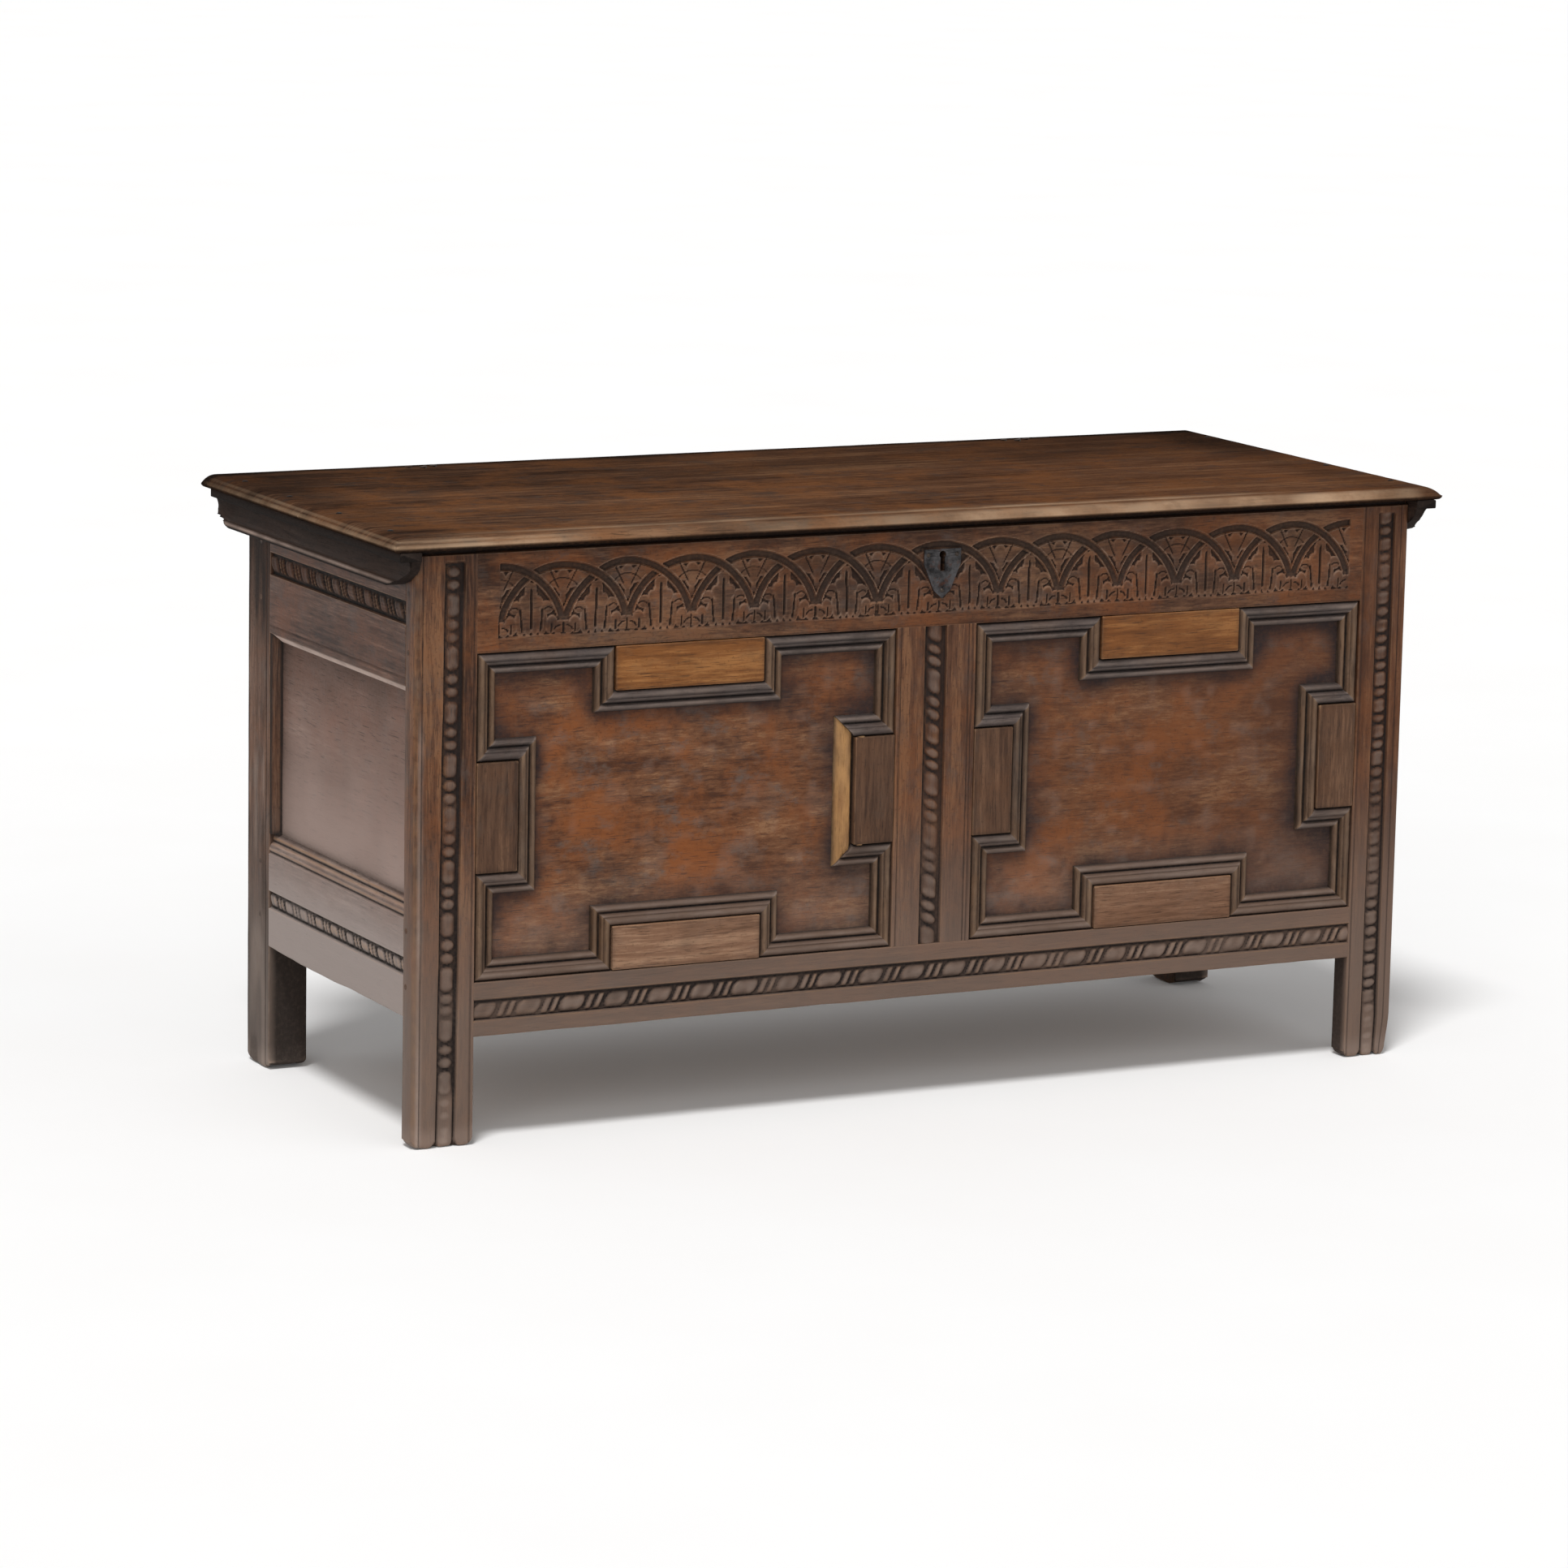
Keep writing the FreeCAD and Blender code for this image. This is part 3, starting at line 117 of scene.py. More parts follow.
def waves(a, b, size, seed):
    """Soft random heights from -1 to 1 over two coordinates, with bumps about size wide."""
    table = np.random.default_rng(seed).uniform(-1, 1, (TABLE_SIDE, TABLE_SIDE))
    u, v = np.broadcast_arrays(a / size, b / size)
    i, j = np.floor(u).astype(int), np.floor(v).astype(int)
    s, t = u - i, v - j
    s, t = s * s * (3 - 2 * s), t * t * (3 - 2 * t)
    i, j, next_i, next_j = (k % TABLE_SIDE for k in (i, j, i + 1, j + 1))
    low = mixed(table[i, j], table[next_i, j], s)
    high = mixed(table[i, next_j], table[next_i, next_j], s)
    return mixed(low, high, t)


def groove(distance, half_width, depth):
    """Depth of a round-bottomed groove at a distance from its middle, zero outside it."""
    return -depth * np.sqrt(unit(1 - (distance / half_width) ** 2))


def lapped(span_low, span_high, lap):
    """A span that runs on at both ends, under or into its neighbours."""
    return span_low - lap, span_high + lap


# Board sections: points round a board, clockwise from the left end of its show face
FACE, RIGHT, BACK, LEFT = range(4)


def quarter(centre, radius, start, count=3):
    """Points on a quarter circle that turns clockwise from an angle, without its first point."""
    angles = np.radians(start - np.linspace(0, 90, count + 1)[1:])
    return [(centre[0] + radius * math.cos(a), centre[1] + radius * math.sin(a)) for a in angles]


def between(start, end, step):
    """Points strictly between two points, about step apart."""
    start, end = np.array(start, float), np.array(end, float)
    count = max(1, int(round(np.linalg.norm(end - start) / step)))
    return [tuple(start + (end - start) * i / count) for i in range(1, count)]


def section(width, depth, face_step, radii):
    """The points of a board's section, and which of its four faces each belongs to."""
    (w0, w1), (t0, t1) = width, depth
    r0, r1, rb = radii
    count = max(2, int(round((w1 - w0 - r0 - r1) / face_step)) + 1)
    face = [(w, t1) for w in np.linspace(w0 + r0, w1 - r1, count)]
    right = quarter((w1 - r1, t1 - r1), r1, 90) + between((w1, t1 - r1), (w1, t0 + rb), 9)
    right += [(w1, t0 + rb)] + quarter((w1 - rb, t0 + rb), rb, 0, 2)[:-1]
    back = [(w1 - rb, t0)] + between((w1 - rb, t0), (w0 + rb, t0), 14) + [(w0 + rb, t0)]
    left = quarter((w0 + rb, t0 + rb), rb, -90, 2) + between((w0, t0 + rb), (w0, t1 - r0), 9)
    left += [(w0, t1 - r0)] + quarter((w0 + r0, t1 - r0), r0, 180)[:-1]
    points = np.array(face + right + back + left)
    tags = np.repeat([FACE, RIGHT, BACK, LEFT], [len(face), len(right), len(back), len(left)])
    return points, tags


def stations(length, step, rounds):
    """Places of a board's rings along its length, and how far each is drawn in at a rounded end."""
    l0, l1 = length
    turn = np.radians([0, 30, 60])
    first = [(l0 + rounds[0] * (1 - math.cos(a)), rounds[0] * (1 - math.sin(a))) for a in turn]
    last = [(l1 - rounds[1] * (1 - math.cos(a)), rounds[1] * (1 - math.sin(a))) for a in turn[::-1]]
    count = max(2, int(round((l1 - l0 - sum(rounds)) / step)) + 1)
    middle = [(x, 0.0) for x in np.linspace(l0 + rounds[0], l1 - rounds[1], count)]
    return np.array(first + middle + last)


def turned(axes):
    """The turn from places along a board's length, width and outward normal to x, y and z."""
    turn = np.zeros((3, 3))
    for row, axis in zip(turn, axes):
        row["xyz".index(axis[-1])] = -1 if axis[0] == "-" else 1
    return turn


# A part is one closed surface: points, quads, end faces, tones and material numbers
def tube(rings, right_handed, dark, light=0.0, slots=None):
    """A part made of rings of points, closed at both ends."""
    n, m = rings.shape[:2]
    index = np.arange(n * m).reshape(n, m)
    a, b = index[:-1], index[1:]
    turn = (a, b, np.roll(b, -1, 1), np.roll(a, -1, 1))
    quads = np.stack(turn if right_handed else turn[::-1], -1).reshape(-1, 4)
    caps = [index[0].tolist(), index[-1][::-1].tolist()]
    if not right_handed:
        caps = [cap[::-1] for cap in caps]
    columns = np.zeros(m, int) if slots is None else slots
    return {"points": rings.reshape(-1, 3), "quads": quads, "caps": caps,
            "dark": np.broadcast_to(dark, (n, m)).reshape(-1),
            "light": np.broadcast_to(light, (n, m)).reshape(-1),
            "slots": np.concatenate([np.tile(columns, n - 1), [columns[0], columns[0]]])}


def board(length, width, depth, axes, step, radii=(1, 1, 1), rounds=(0.4, 0.4), relief=None, shade=(0.0, 0.0),
          wobble=0.22, seed=1, inner=1, warp=None):
    """A board with hand-worked faces.

    length, width and depth are its spans along axes, depth counted towards the show face. step is the
    mesh's step along and across, radii round the two long edges of the show face and those behind, rounds
    the two ends. relief gives the depth, dark and light tones of the show face; shade darkens the faces of
    the two long edges behind the show face, as dark joints and painted shade; wobble is how uneven its faces
    are, and inner is the material number of the back face.
    """
    outline, tags = section(width, depth, step[1], radii)
    places = stations(length, step[0], rounds)
    l = places[:, :1]
    inset = places[:, 1:]
    centre = (outline.min(0) + outline.max(0)) / 2
    half = (outline.max(0) - outline.min(0)) / 2
    w = centre[0] + (outline[:, 0] - centre[0]) * (1 - inset / half[0])
    t = centre[1] + (outline[:, 1] - centre[1]) * (1 - inset / half[1])
    dark, light = np.zeros_like(w), np.zeros_like(w)
    face = tags == FACE
    t += wobble * waves(l, w, 95, seed)
    t += 0.35 * wobble * waves(l, w, 23, seed + 1)
    if relief:
        cut, dark[:, face], light[:, face] = relief(l + 0 * w[:, face], w[:, face])
        t[:, face] += cut
    edges = np.flatnonzero(face)[[0, -1]]
    for side, edge in ((LEFT, edges[0]), (RIGHT, edges[1])):
        t[:, tags == side] = np.minimum(t[:, tags == side], t[:, edge:edge + 1])
    # Painted shade and dark joints on the faces along the long edges.
    deep = smooth(depth[1] - t, 1.2, 3.5)
    for side, tone in ((LEFT, shade[0]), (RIGHT, shade[1])):
        dark[:, tags == side] = tone * deep[:, tags == side]
    w += wobble * waves(l, 3 * t, 140, seed + 2)
    if warp:
        l, w, t = warp(l + 0 * w, w, t)
    rings = np.stack(np.broadcast_arrays(l, w, t), -1)
    turn = turned(axes)
    return tube(rings @ turn, np.linalg.det(turn) > 0, dark, light, np.where(tags == BACK, inner, 0))


def hollowness(mesh, rounds):
    """How much each vertex lies in a hollow, or below zero how much it stands on a ridge."""
    count = len(mesh.vertices)
    spots, normals = np.empty(count * 3), np.empty(count * 3)
    mesh.vertices.foreach_get("co", spots)
    mesh.vertices.foreach_get("normal", normals)
    spots, normals = spots.reshape(-1, 3), normals.reshape(-1, 3)
    edges = np.empty(len(mesh.edges) * 2, int)
    mesh.edges.foreach_get("vertices", edges)
    a, b = edges.reshape(-1, 2).T
    run = spots[b] - spots[a]
    far = np.linalg.norm(run, axis=1) + 1e-9
    total = np.bincount(a, (run * normals[a]).sum(1) / far, count)
    total -= np.bincount(b, (run * normals[b]).sum(1) / far, count)
    degree = np.maximum(np.bincount(a, minlength=count) + np.bincount(b, minlength=count), 1)
    value = total / degree
    for _ in range(rounds):
        spread = np.bincount(a, value[b], count) + np.bincount(b, value[a], count)
        value = 0.5 * value + 0.5 * spread / degree
    return value


def piece(name, parts, node, materials, blur=1, body="carcass"):
    """One named object made of parts, which stands for a CAD node and rides on its body."""
    points, faces, slots, start = [], [], [], 0
    for part in parts:
        points.append(part["points"])
        faces += (part["quads"] + start).tolist() + [[i + start for i in cap] for cap in part["caps"]]
        slots.append(part["slots"])
        start += len(part["points"])
    mesh = bpy.data.meshes.new(name)
    mesh.from_pydata((np.concatenate(points) * MM).tolist(), [], faces)
    for material in materials:
        mesh.materials.append(material)
    mesh.polygons.foreach_set("material_index", np.concatenate(slots).astype(np.int32))
    mesh.polygons.foreach_set("use_smooth", np.ones(len(faces), bool))
    mesh.update()
    mesh.set_sharp_from_angle(angle=math.radians(50))
    tones = {key: np.concatenate([part[key] for part in parts]) for key in ("dark", "light")}
    tones["hollow"] = hollowness(mesh, blur)
    for key, values in tones.items():
        mesh.attributes.new(key, "FLOAT", "POINT").data.foreach_set("value", values.astype(np.float32))
    obj = bpy.data.objects.new(name, mesh)
    bpy.context.scene.collection.objects.link(obj)
    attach(obj, body)
    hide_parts(node)


# Material nodes
def rgb(colour):
    """A screen colour from 0 to 255, as the linear colour that shaders take."""
    shares = [part / 255 for part in colour]
    linear = [c / 12.92 if c <= 0.04045 else ((c + 0.055) / 1.055) ** 2.4 for c in shares]
    return (*linear, 1.0)


class Tree:
    """The node tree of one material, with short calls that add a node and return its output."""

    def __init__(self, tree):
        self.tree = tree

    def add(self, kind, inputs=(), output=0, **settings):
        """A node with its inputs linked to sockets or set to values."""
        node = self.tree.nodes.new("ShaderNode" + kind)
        for key, value in settings.items():
            setattr(node, key, value)
        self.feed(node, dict(inputs))
        return node.outputs[output]

    def feed(self, node, inputs):
        """Inputs of a node linked to sockets or set to values."""
        for key, value in inputs.items():
            if isinstance(value, bpy.types.NodeSocket):
                self.tree.links.new(value, node.inputs[key])
            else:
                node.inputs[key].default_value = value

    def calc(self, operation, a, b, clamp=False):
        """One sum on two numbers."""
        return self.add("Math", {0: a, 1: b}, operation=operation, use_clamp=clamp)

    def plus(self, a, b, clamp=False):
        """Two numbers added."""
        return self.calc("ADD", a, b, clamp)

    def times(self, a, b):
        """Two numbers multiplied."""
        return self.calc("MULTIPLY", a, b)

    def fit(self, value, low, high, new_low=0.0, new_high=1.0):
        """A number moved softly from one range to another and kept inside it."""
        inputs = {"Value": value, "From Min": low, "From Max": high, "To Min": new_low, "To Max": new_high}
        return self.add("MapRange", inputs, interpolation_type="SMOOTHSTEP")

    def blend(self, share, a, b):
        """Two colours mixed."""
        return self.add("Mix", {0: share, 6: a, 7: b}, output=2, data_type="RGBA", blend_type="MIX")

    def noise(self, where, scale, detail=3.0, rough=0.55, output=0):
        """Cloud noise."""
        inputs = {"Vector": where, "Scale": scale, "Detail": detail, "Roughness": rough}
        return self.add("TexNoise", inputs, output=output)

    def moved(self, where, scale, shift):
        """A place scaled along each axis and shifted."""
        return self.add("VectorMath", {0: where, 1: scale, 2: shift}, operation="MULTIPLY_ADD")

    def tone(self, name):
        """A number that the mesh carries."""
        return self.add("Attribute", output=2, attribute_name=name)

    def place(self):
        """The place on the chest."""
        return self.add("TexCoord", output=3)

    def seen(self):
        """1 for what the camera sees, also in a reflection or through glass, and 0 for other light."""
        rays = self.add("LightPath").node.outputs
        seen = self.calc("MAXIMUM", rays["Is Camera Ray"], rays["Is Glossy Ray"])
        return self.calc("MAXIMUM", seen, rays["Is Transmission Ray"])


def new_tree(name):
    """A new material, the helper for its nodes and its main shader."""
    material = bpy.data.materials.new(name)
    material.use_nodes = True
    return material, Tree(material.node_tree), material.node_tree.nodes["Principled BSDF"]


def oak(name, grain, low, middle, high, warm=(122, 72, 38), cool=(92, 80, 72), grime_and_shade=(34, 27, 23),
        worn=(136, 106, 80), bare_and_highlight=(158, 118, 76), faded=(112, 100, 93), streak=1.0, patchy=0.4, rough=0.55,
        gloss=0.12, wear=0.8, bump=0.5, fade=0.0, fade_span=(0.40, 0.12), foot=0.0, ruddy=0.0, thin=None,
        short=1.0, seed=1):
    """Old waxed oak whose grain runs along one axis.

    low, middle and high are the colours of its dark streaks, its body and its light streaks, warm and cool
    those of its patches, grime_and_shade that of the dirt in its hollows and of painted shade, worn that of
    its ridges and bare_and_highlight that of bare wood and of painted highlights.
    streak is how strong the figure is, and short how many times shorter than usual. fade brings the parts
    below fade_span to the faded colour, foot bares the ends on the floor and ruddy reddens the wood towards
    the right. thin is the axis through the board, along which the figure doesn't change.
    """
    material, tree, shader = new_tree(name)
    low, middle, high, warm, cool = map(rgb, (low, middle, high, warm, cool))
    shift = tuple(np.random.default_rng(seed).uniform(-20, 20, 3))
    place = tree.place()

    def scales(along, across):
        return tuple(along if axis == grain else 0.0 if axis == thin else across for axis in "xyz")

    def figured(where, along, across, detail, rough, output=0):
        return tree.noise(tree.moved(where, scales(along, across), shift), 1.0, detail, rough, output)

    drift = figured(place, 1.6, 5.0, 2.0, 0.55, 1)
    bent = tree.add("VectorMath", {0: drift, 1: scales(0.0, 0.02), 2: place}, operation="MULTIPLY_ADD")
    broad = figured(bent, 2.4 * short, 22.0, 4.0, 0.6)
    rings = figured(bent, 4.0 * short, 110.0, 3.0, 0.6)
    fine = figured(bent, 26.0 * short, 330.0, 4.0, 0.7)
    patches = tree.noise(tree.moved(place, (11.0, 11.0, 11.0), shift), 1.0, 6.0, 0.7)
    spots = figured(place, 22.0, 34.0, 5.0, 0.7)
    specks = tree.noise(place, 260.0, 3.0, 0.6)
    pore = tree.fit(figured(bent, 45.0, 900.0, 2.0, 0.5), 0.58, 0.72)

    figure = tree.plus(tree.times(broad, 0.40), tree.times(rings, 0.25))
    figure = tree.plus(figure, tree.times(fine, 0.35))
    spread = 0.14 / streak
    figure = tree.fit(figure, 0.5 - spread, 0.5 + spread)
    body = tree.blend(tree.fit(figure, 0.0, 0.6), low, middle)
    body = tree.blend(tree.fit(figure, 0.55, 1.0), body, high)
    body = tree.blend(tree.fit(patches, 0.42, 0.68, 0.0, patchy), body, warm)
    body = tree.blend(tree.fit(spots, 0.50, 0.72, 0.0, patchy), body, cool)
    body = tree.blend(tree.fit(specks, 0.56, 0.72, 0.0, 0.45), body, low)
    body = tree.blend(tree.times(pore, 0.6), body, rgb(grime_and_shade))

    if ruddy:
        sideways = tree.add("SeparateXYZ", {0: place}, output=0)
        body = tree.blend(tree.fit(sideways, -0.5, 0.62, 0.0, ruddy), body, rgb((84, 50, 30)))
    height = tree.add("SeparateXYZ", {0: place}, output=2)
    ragged = tree.plus(height, tree.times(spots, 0.03))
    if fade:
        body = tree.blend(tree.fit(ragged, *fade_span, 0.0, fade), body, rgb(faded))
    ridge = tree.fit(tree.times(tree.tone("hollow"), -1.0), 0.03, 0.26, 0.0, wear)
    rubbed = tree.times(ridge, tree.fit(tree.noise(place, 70.0), 0.35, 0.6, 0.3, 1.0))
    body = tree.blend(rubbed, body, rgb(worn))
    # The light tone brings bare wood and painted highlights.
    bare = tree.tone("light")
    if foot:
        bare = tree.plus(bare, tree.fit(ragged, 0.046, 0.024, 0.0, foot), True)
    bare = tree.calc("MULTIPLY", bare, tree.fit(spots, 0.3, 0.6, 0.6, 1.0), True)
    body = tree.blend(bare, body, rgb(bare_and_highlight))
    # Dirt in the hollows, and the dark tone, which carries painted shade besides wax, dirt and cut lines.
    crease = tree.fit(tree.tone("hollow"), 0.03, 0.26, 0.0, 0.8)
    grime_and_shade_share = tree.plus(tree.tone("dark"), crease, True)
    grime_and_shade_share = tree.times(grime_and_shade_share, tree.fit(specks, 0.25, 0.6, 0.84, 1.0))
    body = tree.blend(grime_and_shade_share, body, rgb(grime_and_shade))

    relief = tree.plus(tree.times(fine, 0.5), tree.times(rings, 0.4))
    relief = tree.calc("SUBTRACT", relief, tree.times(pore, 0.5))
    relief = tree.plus(relief, tree.times(spots, 0.6))
    lumps = tree.add("Bump", {"Strength": bump, "Distance": 0.0007, "Height": relief})
    dull = tree.plus(grime_and_shade_share, tree.times(patches, 0.3))
    dull = tree.fit(dull, 0.0, 1.0, rough - 0.06, rough + 0.24)
    tree.feed(shader, {"Base Color": body, "Roughness": dull, "Normal": lumps, "Specular IOR Level": gloss})
    return material


def iron(name, low, high, rough=0.55):
    """Forged iron, blackened and a little rusty."""
    material, tree, shader = new_tree(name)
    place = tree.place()
    cloud = tree.noise(place, 55.0, 5.0, 0.65)
    scale = tree.noise(place, 420.0, 3.0, 0.6)
    rust = tree.fit(tree.noise(place, 90.0, 4.0, 0.7), 0.52, 0.68, 0.0, 0.6)
    body = tree.blend(tree.fit(cloud, 0.35, 0.65), rgb(low), rgb(high))
    body = tree.blend(rust, body, rgb((74, 42, 26)))
    height = tree.plus(tree.times(cloud, 0.8), tree.times(scale, 0.3))
    lumps = tree.add("Bump", {"Strength": 0.7, "Distance": 0.0006, "Height": height})
    dull = tree.fit(tree.plus(cloud, tree.times(rust, 0.6)), 0.3, 0.9, rough - 0.15, rough + 0.25)
    tree.feed(shader, {"Base Color": body, "Roughness": dull, "Normal": lumps, "Metallic": 0.75})
    return material


# The oak of each kind of board
frame_oak = {axis: oak("frame_oak_" + axis, axis, (48, 31, 23), (84, 57, 42), (116, 82, 58),
                       warm=(116, 69, 38), cool=(74, 65, 61), grime_and_shade=(35, 29, 27), bare_and_highlight=(150, 132, 121),
                       faded=(108, 92, 82), streak=1.2, patchy=0.55, fade=0.75, foot=0.3, ruddy=0.4,
                       seed=seed) for seed, axis in enumerate("xyz", 3)}
frieze_oak = oak("frieze_oak", "x", (56, 35, 25), (90, 62, 45), (118, 84, 60), warm=(122, 70, 36),
                 cool=(80, 69, 64), grime_and_shade=(36, 27, 23), worn=(132, 108, 90), bare_and_highlight=(152, 128, 110), streak=1.3,
                 patchy=0.7, wear=0.75, ruddy=0.2, short=2.0, seed=8)
panel_oak = oak("panel_oak", "x", (66, 39, 25), (103, 68, 46), (134, 98, 70), warm=(126, 72, 36),
                cool=(90, 78, 71), grime_and_shade=(34, 30, 32), bare_and_highlight=(146, 126, 114), streak=0.95, patchy=0.85,
                rough=0.45, ruddy=0.5, short=3.0, seed=10)
side_oak = {
    "y": oak("side_oak_y", "y", (84, 64, 55), (114, 94, 85), (140, 120, 110), warm=(112, 80, 64),
             cool=(112, 102, 96), grime_and_shade=(32, 27, 25), worn=(160, 140, 126), faded=(146, 134, 128),
             patchy=0.45, streak=0.9, fade=0.9, fade_span=(0.30, 0.20), seed=12),
    "z": oak("side_oak_z", "z", (56, 37, 28), (94, 68, 53), (124, 96, 80), warm=(108, 70, 46),
             cool=(90, 78, 70), grime_and_shade=(32, 27, 25), worn=(150, 128, 112), bare_and_highlight=(160, 142, 130),
             faded=(92, 82, 75), patchy=0.45, streak=1.1, fade=0.8, fade_span=(0.34, 0.12), foot=0.3,
             seed=13)}
side_top_oak = oak("side_top_oak", "y", (46, 30, 23), (79, 56, 45), (106, 80, 67), warm=(100, 62, 43),
                   cool=(72, 61, 56), grime_and_shade=(24, 23, 22), bare_and_highlight=(204, 182, 170), streak=1.1, patchy=0.6,
                   seed=14)
side_panel_oak = oak("side_panel_oak", "y", (94, 69, 58), (114, 89, 78), (134, 110, 99), warm=(118, 80, 64),
                     cool=(112, 96, 89), faded=(150, 130, 121), streak=0.5, patchy=0.4, fade=0.8,
                     fade_span=(0.46, 0.27), seed=15)
# Near-black oak: painted shade on the inner faces of the rear posts.
shade_oak = oak("shade_oak", "z", (18, 16, 14), (32, 28, 25), (48, 41, 36), gloss=0.08, seed=16)
moulding_oak = {
    "x": oak("moulding_oak_x", "x", (42, 36, 34), (70, 61, 58), (96, 84, 78), warm=(80, 59, 46),
             cool=(82, 76, 75), grime_and_shade=(22, 18, 17), worn=(122, 106, 97), bare_and_highlight=(172, 154, 142),
             faded=(110, 86, 70), streak=0.8, wear=0.7, fade=0.5, fade_span=(0.34, 0.22), seed=17),
    "z": oak("moulding_oak_z", "z", (42, 31, 25), (74, 56, 44), (100, 78, 61), warm=(90, 63, 40),
             cool=(76, 67, 61), grime_and_shade=(22, 17, 14), worn=(118, 94, 75), bare_and_highlight=(168, 140, 114), streak=0.8,
             wear=0.7, seed=18)}
split_oak = oak("split_oak", "z", (56, 38, 25), (88, 64, 46), (114, 88, 66), grime_and_shade=(28, 20, 15),
                worn=(140, 112, 80), bare_and_highlight=(170, 128, 82), streak=1.4, bump=0.9, seed=34)
block_oak = {
    "top": oak("top_block_oak", "x", (88, 53, 26), (119, 75, 39), (148, 101, 58), warm=(126, 74, 33),
               cool=(104, 76, 52), patchy=0.35, ruddy=0.3, seed=19),
    "bottom": oak("bottom_block_oak", "x", (94, 68, 51), (122, 91, 71), (148, 116, 92), warm=(118, 82, 58),
                  cool=(106, 88, 77), patchy=0.35, ruddy=0.3, seed=20),
    "side": oak("side_block_oak", "z", (58, 40, 30), (84, 60, 45), (106, 78, 59), warm=(92, 60, 38),
                cool=(76, 64, 56), patchy=0.4, seed=21)}
lid_oak = oak("lid_oak", "x", (50, 35, 27), (88, 62, 46), (120, 88, 64), warm=(112, 72, 44),
              cool=(66, 57, 52), grime_and_shade=(26, 20, 17), worn=(112, 84, 62), bare_and_highlight=(192, 162, 132), streak=0.9,
              patchy=0.75, rough=0.7, gloss=0.0, wear=0.4, ruddy=0.3, thin="z", seed=22)
cleat_oak = oak("cleat_oak", "y", (38, 29, 25), (62, 49, 43), (82, 67, 59), warm=(70, 49, 38),
                cool=(60, 53, 49), grime_and_shade=(24, 20, 18), worn=(96, 80, 69), bare_and_highlight=(186, 162, 148), streak=0.7,
                wear=0.4, gloss=0.05, seed=23)
inside_oak = {axis: oak("inside_oak_" + axis, axis, (84, 62, 44), (116, 90, 66), (140, 114, 88),
                        warm=(128, 94, 62), cool=(104, 92, 80), rough=0.7, gloss=0.05, bump=0.8, seed=seed)
              for seed, axis in enumerate("xyz", 25)}
back_oak = {axis: oak("back_oak_" + axis, axis, (54, 40, 31), (84, 66, 53), (108, 88, 72), warm=(90, 64, 45),
                      cool=(78, 71, 65), patchy=0.6, rough=0.65, gloss=0.08, bump=0.8, seed=seed)
            for seed, axis in enumerate("xyz", 29)}
peg_oak = oak("peg_oak", "y", (40, 28, 21), (64, 46, 34), (88, 65, 48), seed=33)
# Black iron, whose light mottle stands in for painted highlights.
black_iron = iron("black_iron", (20, 19, 20), (74, 72, 73), 0.42)
old_iron = iron("old_iron", (42, 36, 32), (74, 64, 57))
sunk_iron = iron("sunk_iron", (14, 11, 10), (30, 24, 20), 0.8)


# Carving: every relief takes places along and across a board and gives depth, dark and light
def bead(kind, p, s):
    """Height of one bead over its length and width, which both run from -1 to 1."""
    if kind == "long":
        end = unit((np.abs(p) - 0.5) / 0.5)
        return np.sqrt(unit(1 - end ** 2 - np.abs(s) ** 2.4)) * (1 - 0.22 * bell(p, 0.45))
    if kind == "bar":
        return 0.9 * np.sqrt(unit(1 - p ** 2) * unit(1 - s ** 4))
    return np.sqrt(unit(1 - p ** 2 - s ** 2))


# How deep the grooves, the beads' crowns and worn stretches lie, the dark of the grooves and the painted
# highlight on the crowns
SINK, CROWN_SINK, WORN_SINK = 3.2, 0.6, 1.2
GAP_TONE, GLEAM = 0.9, 0.34


def bead_strip(along, across, half, chain, slant, edges, seed, least_dark=0.3, tones=(0.75, 0.75)):
    """A sunk strip that holds a chain of beads between dark grooves: pearls, barrels and slanted bars.

    edges are the widths of the grooves and tones how dark they are; least_dark is the least dark over the
    strip, beads included. The crowns carry a painted highlight.
    """
    along = along + 1.4 * waves(along, across, 60, seed) - slant * across
    cycle = sum(size for _, size in chain)
    place, turn = along % cycle, np.floor(along / cycle)
    s = (across - (edges[0] - edges[1]) / 2) / (half - sum(edges) / 2)
    crown, start = np.zeros_like(along), 0.0
    for i, (kind, size) in enumerate(chain):
        odd = waves(turn * 7.3 + 3.1 * i, 0 * turn, 1.7, seed + 2)
        p = (place - start - size / 2) / (size / 2 * (1 + 0.1 * odd))
        if kind != "gap":
            crown = np.maximum(crown, bead(kind, p, s) * (1 + 0.12 * odd))
        start += size
    crown = unit(crown * (0.95 + 0.2 * waves(along, across, 7, seed + 1)))
    rubbed = 0.35 * smooth(waves(along, 0 * across, 70, seed + 4), 0.3, 0.9)
    beyond = smooth(np.abs(s), 0.92, 1.1)
    depth = mixed(-SINK * 1.1 + (SINK * 1.1 - CROWN_SINK) * crown, -WORN_SINK, rubbed) - 0.5 * beyond
    dark = np.clip(GAP_TONE * (1 - crown ** 0.8) * (1 - rubbed), least_dark, 1)
    dark = mixed(dark, np.where(s < 0, tones[0], tones[1]), beyond)
    inside = smooth(half - np.abs(across), 0.0, 0.9)
    # A painted highlight on the beads' crowns.
    light = GLEAM * smooth(crown, 0.5, 0.95) * (1 - rubbed) * (1 - beyond)
    return depth * inside, dark * inside, light * inside


def scratch(distance, half_width, depth):
    """A scratched line: its depth and dark."""
    cut = groove(distance, half_width, depth)
    return cut, unit(-cut / depth) * 0.8


